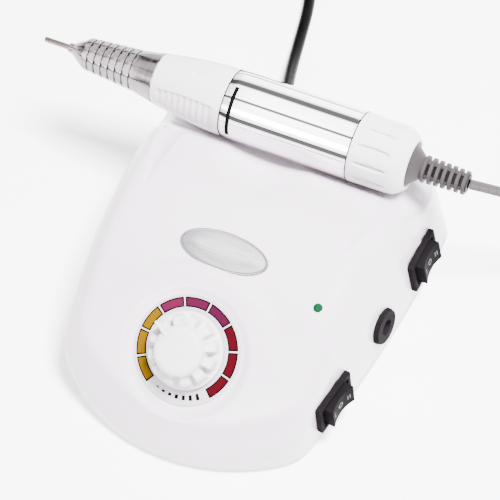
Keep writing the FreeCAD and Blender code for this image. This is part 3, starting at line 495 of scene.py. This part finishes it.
class Outline:
    """A plan outline, alike left and right: long side arcs, front and rear arcs, and round corners."""

    def __init__(self, half_w, side_r, side_y, front_y, front_r, rear_y, rear_r, front_corner, rear_corner):
        self.side = (V((half_w - side_r, side_y)), side_r)
        self.front = (V((0, front_y + front_r)), front_r)
        self.rear = (V((0, rear_y - rear_r)), rear_r)
        self.front_corner = (self.corner(self.front, front_corner, -1), front_corner)
        self.rear_corner = (self.corner(self.rear, rear_corner, 1), rear_corner)

    def corner(self, end, r, y_sign):
        r1, r2 = self.side[1] - r, end[1] - r
        step = end[0] - self.side[0]
        d = step.length
        along = (r1 * r1 - r2 * r2 + d * d) / (2 * d)
        off = math.sqrt(r1 * r1 - along * along)
        foot = self.side[0] + step * (along / d)
        across = V((step.y, -step.x)) / d
        return max((foot + across * off, foot - across * off), key=lambda c: c.x + 50 * y_sign * c.y)

    def depth(self, x, y):
        """How far a plan point lies inside the outline."""
        p = V((abs(x), y))
        for (centre, r), end, turn in ((self.front_corner, self.front, -1), (self.rear_corner, self.rear, 1)):
            from_side = (centre - self.side[0]).cross(p - centre) * turn
            from_end = (centre - end[0]).cross(p - centre) * turn
            if from_side >= 0 and from_end <= 0:
                return r - (p - centre).length
        end = self.front if y < 0 else self.rear
        return min(self.side[1] - (p - self.side[0]).length, end[1] - (p - end[0]).length)

    def ring(self, counts):
        """Points round the outline, so many to a half side, corner, rear half and front half."""
        def touch(corner, big):
            return corner[0] + (corner[0] - big[0]).normalized() * corner[1]

        def arc(p, q, centre, count):
            a0, a1 = math.atan2(*(p - centre).yx), math.atan2(*(q - centre).yx)
            r = (p - centre).length
            return [centre + V((math.cos(a), math.sin(a))) * r
                    for a in (a0 + (a1 - a0) * i / count for i in range(count))]

        side, corner, end = counts
        fore = V((0, self.front[0].y - self.front[1]))
        back = V((0, self.rear[0].y + self.rear[1]))
        half = arc(fore, touch(self.front_corner, self.front), self.front[0], end)
        half += arc(touch(self.front_corner, self.front), touch(self.front_corner, self.side),
                    self.front_corner[0], corner)
        half += arc(touch(self.front_corner, self.side), touch(self.rear_corner, self.side),
                    self.side[0], side)
        half += arc(touch(self.rear_corner, self.side), touch(self.rear_corner, self.rear),
                    self.rear_corner[0], corner)
        half += arc(touch(self.rear_corner, self.rear), back, self.rear[0], end)
        return half + [back] + [V((-p.x, p.y)) for p in half[:0:-1]]


FOOT, CAP, EDGE = Outline(**FOOT_OUTLINE), Outline(**CAP_OUTLINE), Outline(**EDGE_OUTLINE)


def soft_min(a, b, k):
    h = max(k - abs(a - b), 0.0) / k
    return min(a, b) - h * h * k / 4


def soft_ramp(t, k):
    t = t / k
    return k * t if t > 30 else k * math.log1p(math.exp(t))


def face_z(x, y):
    start = CREST_Y - FACE_R * math.sin(FACE_MAX_SLOPE)
    held = max(y, start)
    z = CREST_Z - FACE_R + math.sqrt(FACE_R ** 2 - (held - CREST_Y) ** 2)
    z -= (held - y) * math.tan(FACE_MAX_SLOPE)
    return z - (CROWN_R - math.sqrt(CROWN_R ** 2 - x * x))


def trough_z(y):
    t = abs(y - AX_Y)
    low = AX_Z - BARREL_R - REST_GAP
    edge = TROUGH_R * math.sin(TROUGH_SLOPE)
    if t < edge:
        return low + TROUGH_R - math.sqrt(TROUGH_R ** 2 - t * t)
    return low + TROUGH_R * (1 - math.cos(TROUGH_SLOPE)) + (t - edge) * math.tan(TROUGH_SLOPE)


def scoop(x, y):
    q = ((x - SCOOP_X) / SCOOP_RX) ** 2 + ((y - SCOOP_Y) / SCOOP_RY) ** 2
    return SCOOP_DEPTH * soft_ramp(1 - q, SCOOP_SOFT)


def flute(x, y):
    u = (y - FLUTE_LOW_Y) / (FLUTE_TOP_Y - FLUTE_LOW_Y)
    if not 0 < u < 1:
        return 0.0
    v = (abs(x) - FLUTE_X + FLUTE_BOW * (1 - u) ** 2) / (FLUTE_HALF_W * u)
    return FLUTE_DEPTH * u * soft_ramp(1 - v * v, FLUTE_SOFT)


RIM_R, RIM_FLAT, RIM_FADE, RIM_SOFT = 24.2, 1.08, 0.5, 0.3      # the fading is in shares of the radius


def dial(x, y, z):
    """The face round the dial: a rim raised a little, and the dished pocket inside it."""
    over = y - DIAL_Y
    reach = math.hypot(x, over / math.cos(DIAL_SLOPE))
    floor = face_z(0, DIAL_Y) + over * math.tan(DIAL_SLOPE) - DIAL_SINK / math.cos(DIAL_SLOPE)
    ratio = reach / RIM_R
    share = 1.0 if ratio < RIM_FLAT else max(0.0, 1 - ((ratio - RIM_FLAT) / RIM_FADE) ** 2) ** 2
    z += share * soft_ramp(floor + DIAL_RIM - z, RIM_SOFT)
    return floor + (z - floor) * smooth_step((reach - POCKET_FLOOR_R) / (POCKET_R - POCKET_FLOOR_R))


def top_z(x, y):
    if y < AX_Y:
        z = soft_min(face_z(x, y), trough_z(y), TROUGH_SOFT)
    else:
        z = soft_min(trough_z(y), REAR_LIP_Z, LIP_SOFT)
    z = dial(x, y, z) - scoop(x, y) - flute(x, y)
    return z - BEVEL_SLOPE * soft_ramp(BEVEL_W - EDGE.depth(x, y), BEVEL_SOFT)


# ============================================================ places
def axes(origin, x, y):
    """A place in millimetres made of its origin and two of its directions, as a matrix in metres."""
    x, y = x.normalized(), y.normalized()
    made = Matrix((x, y, x.cross(y))).transposed().to_4x4()
    made.translation = V(origin) * MM
    return made


def wall_x(y, z):
    def at(outline):
        centre, r = outline.side
        return centre.x + math.sqrt(r * r - (y - centre.y) ** 2)
    return at(FOOT) + (at(CAP) - at(FOOT)) * (z - FOOT_Z) / (CAP_Z - FOOT_Z)


def on_wall(y):
    """Out of the right-hand wall, with X along it to the rear and Y up it."""
    along = V((wall_x(y + 0.5, FITTING_Z) - wall_x(y - 0.5, FITTING_Z), 1.0, 0.0)).normalized()
    up = V((wall_x(y, FITTING_Z + 0.5) - wall_x(y, FITTING_Z - 0.5), 0.0, 1.0))
    return axes((wall_x(y, FITTING_Z) + FITTING_GAP, y, FITTING_Z), along, up - along * up.dot(along))


def on_face(x, y):
    """Out of the face, with X level and Y up it."""
    return axes((x, y, top_z(x, y)), RIGHT, V((0, 1.0, top_z(x, y + 0.5) - top_z(x, y - 0.5))))


def on_dial():
    up = V((0, math.cos(DIAL_SLOPE), math.sin(DIAL_SLOPE)))
    return axes(V((0, DIAL_Y, face_z(0, DIAL_Y))) - RIGHT.cross(up) * DIAL_SINK, RIGHT, up)


def on_handpiece():
    """Along the handpiece: Z from bit to lead, X up and Y to the front, so angles run from top to front."""
    return axes((0, AX_Y, AX_Z), UP, -REAR)


# ============================================================ the box
SHELL_T, SOCKET_HOLE_R, GLAND_HOLE_R, GLAND = 2.3, 5.7, 4.6, (-22.0, 74.0, 12.0)


def make_shell():
    counts = (70, 22, 40)
    low, high = FOOT.ring(counts), CAP.ring(counts)
    pole = V((0.0, BADGE_Y))
    inner_rows, wall_rows, round_steps, round_size = 84, 10, 7, 3.0
    columns = []
    for a, b in zip(low, high):
        z0, z1 = FOOT_Z, CAP_Z
        for _ in range(30):
            z = (z0 + z1) / 2
            p = a + (b - a) * (z - FOOT_Z) / (CAP_Z - FOOT_Z)
            if z < top_z(p.x, p.y):
                z0 = z
            else:
                z1 = z
        edge = V((p.x, p.y, z))
        down = V((a.x, a.y, FOOT_Z)) - edge
        inward = pole - p
        first = p + inward.normalized() * round_size
        start = V((first.x, first.y, top_z(first.x, first.y)))
        finish = edge + down.normalized() * min(round_size, down.length * 0.6)
        column = []
        for i in range(1, inner_rows + 1):
            q = pole + (first - pole) * (i / inner_rows) ** 0.9
            column.append(V((q.x, q.y, top_z(q.x, q.y))))
        for i in range(1, round_steps):
            t = i / round_steps
            column.append(start * (1 - t) ** 2 + edge * (2 * t * (1 - t)) + finish * t * t)
        for i in range(wall_rows + 1):
            column.append(finish + (V((a.x, a.y, FOOT_Z)) - finish) * i / wall_rows)
        columns.append(column)
    rows = list(zip(*columns))
    points, faces = skin(rows)
    points.append((0, BADGE_Y, top_z(0, BADGE_Y)))
    count = len(rows[0])
    faces += [(len(points) - 1, k, (k + 1) % count) for k in range(count)]
    shell = piece("case", (points, faces), "box_white", None)
    flip_up(shell.data)
    thick = shell.modifiers.new("thick", "SOLIDIFY")
    thick.thickness, thick.offset = SHELL_T * MM, -1
    cutters = []
    for y in (POWER_Y, DIRECTION_Y):
        cutters.append(piece("cutter", box(-9.6, 9.6, -6.5, 6.5, -9, 6), "box_white", None, on_wall(y)))
    for radius, top, place in ((SOCKET_HOLE_R, 6, on_wall(SOCKET_Y)),
                               (GLAND_HOLE_R, 9, axes(GLAND, RIGHT, UP))):
        hole = lathe([(-9, 0), (-9, radius), (top, radius), (top, 0)], 48)
        cutters.append(piece("cutter", hole, "box_white", None, place))
    for cutter in cutters:
        cut = shell.modifiers.new("cut", "BOOLEAN")
        cut.object, cut.solver = cutter, "EXACT"
    settle(shell)
    for cutter in cutters:
        bpy.data.objects.remove(cutter)
    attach(shell, "box")
    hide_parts("top_shell")


def flip_up(mesh):
    """Makes sure that an open skin's faces look outwards."""
    highest = max(mesh.polygons, key=lambda face: face.center.z)
    if highest.normal.z < 0:
        mesh.flip_normals()


def make_floor():
    floor = piece("floor", box(-3000, 3000, -3000, 3000, -20, 0), "floor_white", None)


SCALE_R, FIELD_OUT, FIELD_IN, FIELDS = 20.6, 19.6, 15.8, 9
SCALE_LOW, SCALE_HIGH = 212.4, 495.3    # clockwise from the top of the dial, in degrees
FIELD_GAP, LINE_TURN, LINE_W = 0.95, 1.8, 0.52      # two angles in degrees, and the outline's width
FIELD_COLOURS = ["field_yellow"] * 3 + ["field_magenta", "field_plum", "field_purple"] + ["field_red"] * 3


def sector(r0, r1, a0, a1, z0, z1, steps=10):
    """A closed piece of ring between two clockwise angles, in degrees."""
    rows = []
    for i in range(steps + 1):
        a = math.radians(90 - (a0 + (a1 - a0) * i / steps))
        section = ((r0, z0), (r1, z0), (r1, z1), (r0, z1))
        rows.append([(r * math.cos(a), r * math.sin(a), z) for r, z in section])
    return skin(rows, caps=True)


def make_scale():
    """The printed ring round the knob: nine fields from slow to fast, each in a dark outline."""
    place = on_dial()
    step = (SCALE_HIGH - SCALE_LOW) / FIELDS
    label = lathe([(0.02, 3.8), (0.02, SCALE_R), (0.38, SCALE_R), (0.45, SCALE_R - 0.08), (0.45, 3.8)])
    scale = piece("scale_label", label, "label_white", "box", place)
    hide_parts("speed_scale")
    for k, colour in enumerate(FIELD_COLOURS):
        a0 = SCALE_LOW + k * step + FIELD_GAP
        a1 = SCALE_LOW + (k + 1) * step - FIELD_GAP
        outline = sector(FIELD_IN, FIELD_OUT, a0, a1, 0.4, 0.5)
        field = sector(FIELD_IN + LINE_W, FIELD_OUT - LINE_W, a0 + LINE_TURN, a1 - LINE_TURN, 0.42, 0.56)
        piece(f"field_outline_{k + 1}", outline, "outline_black", "box", place)
        piece(f"field_{k + 1}", field, colour, "box", place)
    low, high = SCALE_HIGH - 360 + 12, SCALE_LOW - 12
    wedge, bars, bars_r = [], 7, 17.6
    for i in range(bars):
        a = high + (low - high) * i / (bars - 1)
        size = 0.25 + 0.16 * i
        wedge.append(sector(bars_r - size, bars_r + size, a - 2.0, a + 2.0, 0.4, 0.52, 3))
    piece("speed_wedge", joined(*wedge), "outline_black", "box", place)


KNOB_LOBES, POINTER = 12, math.radians(146.0)


def make_knob():
    """A dial knob: a low skirt, a ring of finger lobes and a flat cap with a pointer ridge."""
    cap = [(0, 12.6), (4, 12.55), (7.2, 12.45), (8.4, 12.2), (9.0, 11.7), (9.25, 11.0)]
    skirt = [(14.1, 3.05), (14.45, 2.85), (14.6, 2.55), (14.6, 1.4), (14.4, 1.2), (6.5, 1.2)]
    crest = cap + [(9.3, 9.6), (9.45, 9.0), (10.0, 8.75), (11.3, 8.6), (12.2, 8.3), (12.8, 7.6), (13.1, 6.6),
                   (13.3, 5.0), (13.45, 3.5), (13.7, 3.15)] + skirt
    valley = cap + [(9.35, 9.3), (9.4, 7.6), (9.45, 6.0), (9.6, 4.8), (10.0, 4.0), (10.7, 3.5), (11.6, 3.3),
                    (12.4, 3.2), (13.1, 3.15), (13.7, 3.12)] + skirt
    sides = KNOB_LOBES * 24
    rows = []
    for (r1, z1), (r0, z0) in zip(crest[1:], valley[1:]):
        ring = []
        for k in range(sides):
            a = math.tau * k / sides
            off = abs((a - POINTER) * KNOB_LOBES / math.tau % 1 - 0.5) * 2
            w = smooth_step((off - 0.2) / 0.34)
            r, z = r0 + (r1 - r0) * w, z0 + (z1 - z0) * w
            ring.append((r * math.cos(a), r * math.sin(a), z))
        rows.append(ring)
    points, faces = skin(rows)
    points += [(0, 0, crest[0][1]), (0, 0, crest[-1][1])]
    last = (len(rows) - 1) * sides
    for k in range(sides):
        faces.append((len(points) - 2, k, (k + 1) % sides))
        faces.append((len(points) - 1, last + (k + 1) % sides, last + k))
    knob = piece("dial_knob", (points, faces), "knob_white", "knob", on_dial(), sharp=60)
    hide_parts("speed_knob")
    ridge = moved(box(6.6, 13.5, -0.6, 0.6, 8.0, 12.9), Matrix.Rotation(POINTER, 4, "Z"))
    piece("knob_pointer", ridge, "knob_white", "knob", on_dial(), bevel=0.5)


def make_switch(side, y, body):
    place = on_wall(y)
    outer, window = (10.5, 7.5, 1.0), (8.3, 5.2, 0.5)       # half length, half width, corner radius
    loops = [(outer, 0.0, 0.0), (outer, 0.0, 1.75), (outer, 0.12, 2.05), (outer, 0.4, 2.2),
             (window, -0.4, 2.2), (window, -0.1, 2.05), (window, 0.0, 1.8), (window, 0.0, -5.5)]
    rows = [rounded_rectangle(hx - inset, hy - inset, max(0.2, r - inset * 0.5), z)
            for (hx, hy, r), inset, z in loops]
    points, faces = skin(rows)
    faces.append(tuple(range(len(points) - len(rows[0]), len(points))))
    bezel = piece(f"{side}_bezel", (points, faces), "switch_black", "box", place)
    housing = [rounded_rectangle(9.5, 6.4, 0.5, z) for z in (-5.6, -13.0)]
    piece(f"{side}_housing", skin(housing, caps=True), "switch_black", "box", place, bevel=0.3)
    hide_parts(f"{side}_switch_body")
    half, crest, dip, low, wide, belly = 7.0, 5.6, 4.0, 0.6, 4.9, 4.4
    radius = (half ** 2 + (crest - dip) ** 2) / (2 * (crest - dip))

    def face(x):
        return dip + radius - math.sqrt(radius ** 2 - x * x)

    rim = [(half * t, face(half * t)) for t in (1 - 2 * i / 20 for i in range(21))]
    under = [(half * t, low - belly * math.cos(math.pi / 2 * t)) for t in (2 * i / 12 - 1 for i in range(13))]
    rows = [[(x, s * wide, z) for x, z in rim + under] for s in (-1, 1)]
    paddle = piece(f"{side}_rocker", skin(rows, caps=True), "switch_black", body, place, bevel=0.35)
    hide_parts(f"{side}_paddle")
    marks = []
    mark_x = 4.6
    for x, offsets in ((-mark_x, (0.0,)), (mark_x, (-0.55, 0.55))):
        for off in offsets:
            bar = box(off - 0.2, off + 0.2, -1.3, 1.3, -0.2, 0.07)
            tilt = Matrix.Rotation(-math.asin(x / radius), 4, "Y")
            marks.append(moved(bar, Matrix.Translation((x, 0, face(x))) @ tilt))
    zero = [(-0.2, 0.85), (-0.2, 1.3), (0.07, 1.3), (0.07, 0.85)]
    marks.append(moved(lathe(zero, 32), Matrix.Translation((0, 0, dip))))
    piece(f"{side}_marks", joined(*marks), "mark_white", body, place)


def make_socket():
    ring = [(-4.0, 3.2), (-4.0, 5.6), (0.0, 5.6), (0.0, 7.3), (1.0, 7.3), (1.12, 7.18), (1.15, 6.9),
            (1.22, 6.9), (2.0, 6.9), (2.1, 6.8), (2.1, 3.32), (2.0, 3.22), (1.9, 3.2)]
    socket = piece("lead_socket", lathe(ring), "switch_black", "box", on_wall(SOCKET_Y), sharp=30)
    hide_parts("socket_ring")


def oval_rows(sizes, sides=96):
    return [[((BADGE_A - inset) * math.cos(a), (BADGE_B - inset) * math.sin(a), z)
             for a in (math.tau * k / sides for k in range(sides))] for inset, z in sizes]


def make_badge():
    """A plain domed nameplate in a thin polished rim."""
    place = on_face(0.0, BADGE_Y)
    rim = oval_rows([(0.0, -0.7), (0.0, 0.55), (0.12, 0.8), (0.4, 0.92), (0.75, 0.85), (0.95, 0.6),
                     (0.95, -0.7)])
    frame_piece = piece("nameplate_rim", skin(rim, wrap_rows=True), "bright_metal", "box", place, sharp=60)
    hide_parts("badge_frame")
    dome = [(0.9, -0.7)] + [(0.9 + 6.4 * s, 0.62 + 0.85 * math.sin(math.pi / 2 * s)) for s in
                            (i / 8 for i in range(9))]
    plate = piece("nameplate", skin(oval_rows(dome), caps=True), "badge_silver", "box", place, sharp=60)
    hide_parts("badge_dome")


def make_led():
    place = on_face(LED_X, LED_Y)
    dome_z, dome_h, steps = 0.35, 1.35, 8
    turns = [math.pi / 2 * i / steps for i in range(1, steps)]
    lens = [(-5.5, 0), (-5.5, LENS_R), (dome_z, LENS_R)]
    lens += [(dome_z + dome_h * math.sin(t), LENS_R * math.cos(t)) for t in turns] + [(dome_z + dome_h, 0)]
    lamp = piece("power_lamp", lathe(lens, 48), "lens_green", "box", place, sharp=60)
    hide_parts("led_lens")
    collar = [(-0.4, 1.72), (-0.4, 2.25), (0.05, 2.25), (0.2, 2.1), (0.25, 1.9), (0.2, 1.72)]
    piece("lamp_collar", lathe(collar, 48), "grip_white", "box", place, sharp=60)


# ============================================================ the handpiece
TIP_X, NOSE_X, SHOULDER_X, BIT_END_X, RINGS_END_X = -107.4, -93.7, -87.7, -76.0, -65.1
GRIP_X, BARREL_X, CAP_X, CAP_END_X = -55.9, -24.9, 27.4, 49.7
BIT_R, RINGS_R0, RINGS_R1 = 1.175, 6.6, 8.45
RINGS, RING_PITCH, GROOVE_W, GROOVE_DEPTH = 7, 3.2, 0.9, 0.75


def make_bit():
    pin = [(TIP_X, 0), (TIP_X, 0.65), (TIP_X + 0.12, 0.95), (TIP_X + 0.4, BIT_R), (BIT_END_X, BIT_R),
           (BIT_END_X, 0)]
    bit = piece("pin", lathe(pin, 40), "bit_steel", "bit", on_handpiece(), sharp=50)
    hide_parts("bit")


def make_nose():
    def radius_at(x):
        return RINGS_R0 + (RINGS_R1 - RINGS_R0) * (x - SHOULDER_X) / (RINGS_END_X - SHOULDER_X)

    half_flat, first_flat = math.pi / 10, math.radians(7)

    def facets(x, r, a):
        """Ten flats along the ringed part."""
        if not SHOULDER_X - 0.01 <= x <= SHOULDER_X + RINGS * RING_PITCH + 0.3 or r < 5.5:
            return r
        off = (a - first_flat + half_flat) % (2 * half_flat) - half_flat
        return min(r, radius_at(x) * 1.008 * math.cos(half_flat) / math.cos(off))

    outside = [(NOSE_X, 2.35), (NOSE_X, 2.75), (NOSE_X + 0.15, 2.95), (SHOULDER_X - 0.3, 6.35),
               (SHOULDER_X, 6.55)]
    for i in range(RINGS):
        x0 = SHOULDER_X + 1.9 + i * RING_PITCH
        x1 = x0 + GROOVE_W
        for x, drop in ((x0 - 0.12, 0.0), (x0, 0.12), (x0 + 0.2, GROOVE_DEPTH), (x1 - 0.2, GROOVE_DEPTH),
                        (x1, 0.12), (x1 + 0.12, 0.0)):
            outside.append((x, radius_at(x) - drop))
    outside += [(RINGS_END_X, RINGS_R1), (-62.0, 8.95), (-59.0, 9.5), (GRIP_X - 0.3, 10.1), (GRIP_X, 10.0)]
    inside = [(GRIP_X, 9.2), (GRIP_X + 3.0, 9.2), (GRIP_X + 3.0, 7.6), (RINGS_END_X, 7.3),
              (SHOULDER_X + 4, 5.4), (SHOULDER_X + 1.5, 4.9), (NOSE_X + 3.2, 2.35)]
    nose = piece("nose", lathe(outside + inside, 160, facets), "nose_steel", "lock_sleeve", on_handpiece(),
                 sharp=28)
    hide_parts("nose_cone")


PANEL_ANGLES, PANEL_HALF, PANEL_TAPER, PANEL_DEPTH = (78, 258), 27.0, 7.0, 1.0
RIB_PITCH, RIB_HEIGHT = 2.75, 0.65
DIMPLE_X, DIMPLE_ANGLE, DIMPLE_HALF, DIMPLE_DEPTH = GRIP_X + 17.5, 5, 3.6, 0.45


def turn_from(a, degrees):
    """How far an angle is from a direction given in degrees."""
    return abs((math.degrees(a) - degrees + 180) % 360 - 180)


def make_grip():
    """The twist sleeve: slim at the nose, with two ribbed finger panels and a lens-shaped dimple."""
    def outside(x):
        t = (x - GRIP_X) / (BARREL_X - GRIP_X)
        return 10.2 + 3.15 * math.sin(math.pi / 2 * min(1.0, t * 1.02))

    def carve(x, r, a):
        if r < outside(x) - 0.3:
            return r
        panel = min(turn_from(a, angle) for angle in PANEL_ANGLES)
        reach = PANEL_HALF - PANEL_TAPER * ((x - GRIP_X - 18) / 16) ** 2
        inside_panel = smooth_step((reach - panel) / 2.2) * smooth_step((x - GRIP_X - 2.2) / 1.5)
        inside_panel *= smooth_step((BARREL_X - 2.0 - x) / 2.5)
        ribs = 0.5 + 0.5 * math.cos(math.tau * (x - GRIP_X) / RIB_PITCH)
        lens = 1 - ((x - DIMPLE_X) / DIMPLE_HALF) ** 2 - (turn_from(a, DIMPLE_ANGLE) / DIMPLE_HALF) ** 2
        return r - inside_panel * (PANEL_DEPTH - RIB_HEIGHT * ribs) - DIMPLE_DEPTH * smooth_step(lens * 1.5)

    start, end, count = GRIP_X + 0.02, BARREL_X - 0.15, 88
    outer = [(start, 9.25), (start, outside(start) - 0.25), (start + 0.12, outside(start) - 0.06)]
    for i in range(1, count):
        x = start + (end - start) * i / count
        outer.append((x, outside(x)))
    outer += [(end - 0.1, outside(end) - 0.08), (end, outside(end) - 0.3), (end, 10.6), (GRIP_X + 3.05, 9.25)]
    grip = piece("grip", lathe(outer, 240, carve), "grip_white", "lock_sleeve", on_handpiece(), sharp=50)
    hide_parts("grip_sleeve")


def make_barrel():
    """The polished barrel, with the lock's curved slot near the grip; the slot is painted black as painted
    shade.
    """
    slot_x, slot_w, slot_depth, slot_low, slot_high = BARREL_X + 3.0, 1.3, 0.7, 8, 97

    def slotted(x, r, a):
        degrees = (math.degrees(a) + 180) % 360 - 180
        across = slot_x - 0.01 <= x <= slot_x + slot_w + 0.01
        return r - slot_depth if across and r > 13 and slot_low < degrees < slot_high else r

    outer = [(BARREL_X, 12.7), (BARREL_X, 13.1), (BARREL_X + 0.2, 13.3), (BARREL_X + 1.5, 13.5),
             (slot_x - 0.12, 13.62), (slot_x, 13.62), (slot_x + slot_w, 13.66),
             (slot_x + slot_w + 0.12, 13.66), (BARREL_X + 8, BARREL_R), (-5.0, BARREL_R), (12.0, BARREL_R),
             (CAP_X - 0.9, BARREL_R), (CAP_X - 0.8, BARREL_R - 0.25), (CAP_X - 0.55, BARREL_R - 0.25),
             (CAP_X - 0.45, BARREL_R), (CAP_X - 0.1, BARREL_R - 0.05), (CAP_X, BARREL_R - 0.2), (CAP_X, 12.7)]

    # painted shade: faces down in the slot take the near-black finish in place of the steel
    def paint(p):
        r = math.hypot(p.x, p.y)
        return 1 if slot_x - 0.1 < p.z < slot_x + slot_w + 0.1 and 12.8 < r < 13.55 else 0

    barrel = piece("motor_barrel", lathe(outer, 240, slotted), ("barrel_steel", "well_black"), "handpiece",
                   on_handpiece(), sharp=20, paint=paint)
    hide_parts("barrel")


CAP_FLUTE_X, CAP_FLUTE_LONG, CAP_FLUTE_TURN, CAP_FLUTE_DEPTH = 36.5, 7.2, 4.4, 1.2
CAP_FLUTE_STEP, CAP_FLUTE_FIRST = 30, 4     # degrees


def make_rear_cap():
    """The end cap, rounded at the back, with lens-shaped flutes all round."""
    def fluted(x, r, a):
        if r < 11.5:
            return r
        half = CAP_FLUTE_STEP / 2
        off = (math.degrees(a) - CAP_FLUTE_FIRST + half) % CAP_FLUTE_STEP - half
        lens = 1 - ((x - CAP_FLUTE_X) / CAP_FLUTE_LONG) ** 2 - (off / CAP_FLUTE_TURN) ** 2
        return r - CAP_FLUTE_DEPTH * smooth_step(lens * 1.9)

    def outside(x):
        return BARREL_R - 0.12 - 0.25 * (x - CAP_X) / 16 if x < 43 else 13.38 - 3.6 * ((x - 43) / 6.7) ** 2.3

    outer = [(CAP_X + 0.05, 11.4), (CAP_X + 0.05, BARREL_R - 0.35), (CAP_X + 0.2, BARREL_R - 0.15)]
    steps = 60
    for i in range(1, steps + 1):
        x = CAP_X + 0.2 + (CAP_END_X - 0.2 - CAP_X) * i / steps
        outer.append((x, outside(x)))
    outer += [(CAP_END_X, 9.3), (CAP_END_X - 0.3, 9.0), (45.5, 9.0), (43.5, 11.4)]
    cap = piece("end_cap", lathe(outer, 240, fluted), "grip_white", "handpiece", on_handpiece(), sharp=50)
    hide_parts("rear_cap")


def make_gap_shade():
    """Painted shade: near-black rings in the joint gaps at both ends of the barrel."""
    for name, x, radius in (("grip_gap_shade", BARREL_X - 0.1, 13.42), ("cap_gap_shade", CAP_X + 0.15, 13.69)):
        ring = [(x - 0.2, radius - 0.8), (x - 0.2, radius), (x + 0.2, radius), (x + 0.2, radius - 0.8)]
        piece(name, lathe(ring, 160), "well_black", "handpiece", on_handpiece())


# ============================================================ light
SKY_STRENGTH, SKY_SHINE = 2.5, 10.0      # for soft light and for reflections
# How bright the sky is by its direction seen from the right: degrees from straight up towards the front.
SKY_BANDS = [(-180, 0.4), (-96, 0.35), (-92, 0.05), (-88, 0.06), (-85, 0.95), (-66, 0.9), (-56, 0.6),
             (-50, 0.03), (-33, 0.03), (-27, 0.95), (13.5, 1.1), (14.8, 1.1), (15.4, 0.06), (23.0, 0.06),
             (23.6, 1.1), (48, 1.0), (52, 2.8), (62, 2.8), (68, 0.8), (76, 0.7), (77, 0.03), (90.5, 0.03),
             (92, 0.4), (180, 0.4)]
# And by how far it lies to the left or right.
SKY_SIDES = [(-1.0, 0.10), (-0.8, 0.22), (-0.5, 0.45), (-0.36, 0.6), (-0.3, 1.0), (0.2, 1.0), (0.5, 0.5),
             (1.0, 0.12)]
FLOOR_GLOW = 1.2
# Each lamp: its place, what it points at, its size, all in metres, and its power in watts.
KEY_LAMP = (0.38, 0.05, 1.2), (0, 0, 0.03), (0.35, 0.35), 112.0
STRIP_LAMP = (1.15, 0.67, 0.24), (0.05, 0, 0.04), (0.05, 0.3), 1.5


def make_light():
    world = bpy.data.worlds.new("studio")
    bpy.context.scene.world = world
    world.use_nodes = True
    tree = world.node_tree

    def add(kind, *sources):
        node = tree.nodes.new(kind)
        for socket, source in zip(node.inputs, sources):
            if isinstance(source, bpy.types.NodeSocket):
                tree.links.new(source, socket)
            else:
                socket.default_value = source
        return node

    back = tree.nodes["Background"]
    split = add("ShaderNodeSeparateXYZ", tree.nodes.new("ShaderNodeTexCoord").outputs["Generated"])
    frontwards = add("ShaderNodeMath", split.outputs["Y"], -1.0)
    frontwards.operation = "MULTIPLY"
    angle = add("ShaderNodeMath", frontwards.outputs[0], split.outputs["Z"])
    angle.operation = "ARCTAN2"
    share = add("ShaderNodeMapRange", angle.outputs[0], -math.pi, math.pi)
    across = add("ShaderNodeMapRange", split.outputs["X"], -1.0, 1.0)

    def ramp(source, levels, low, high):
        node = add("ShaderNodeValToRGB", source)
        stops = node.color_ramp.elements
        while len(stops) < len(levels):
            stops.new(0.5)
        for stop, (at, value) in zip(stops, levels):
            stop.position = (at - low) / (high - low)
            stop.color = (value, value * 0.985, value, 1)
        return node.outputs["Color"]

    both = add("ShaderNodeVectorMath", ramp(share.outputs[0], SKY_BANDS, -180, 180),
               ramp(across.outputs[0], SKY_SIDES, -1, 1))
    both.operation = "MULTIPLY"
    path = tree.nodes.new("ShaderNodeLightPath")
    shown = add("ShaderNodeVectorMath", both.outputs[0], path.outputs["Is Camera Ray"])
    shown.operation = "MAXIMUM"
    tree.links.new(shown.outputs[0], back.inputs["Color"])
    strength = add("ShaderNodeMapRange", path.outputs["Is Glossy Ray"], 0.0, 1.0, SKY_STRENGTH, SKY_SHINE)
    tree.links.new(strength.outputs[0], back.inputs["Strength"])

    def lamp(name, place, aim, size, power, seen=True):
        data = bpy.data.lights.new(name, "AREA")
        data.shape, data.size, data.size_y, data.energy = "RECTANGLE", size[0], size[1], power
        light = bpy.data.objects.new(name, data)
        bpy.context.scene.collection.objects.link(light)
        light.location = place
        light.visible_glossy = seen
        light.rotation_euler = (V(aim) - V(place)).to_track_quat("-Z", "Y").to_euler()

    lamp("key", *KEY_LAMP, seen=False)
    lamp("strip", *STRIP_LAMP)


finishes = make_finishes()
make_camera()
mains = make_mains()
mains.data.materials.append(finishes["mains_black"])
make_lead()
finish_cad_nodes()
make_shell()
make_scale()
make_knob()
make_switch("power", POWER_Y, "power_rocker")
make_switch("direction", DIRECTION_Y, "direction_rocker")
make_socket()
make_badge()
make_led()
make_bit()
make_nose()
make_grip()
make_barrel()
make_rear_cap()
make_gap_shade()
make_floor()
make_light()
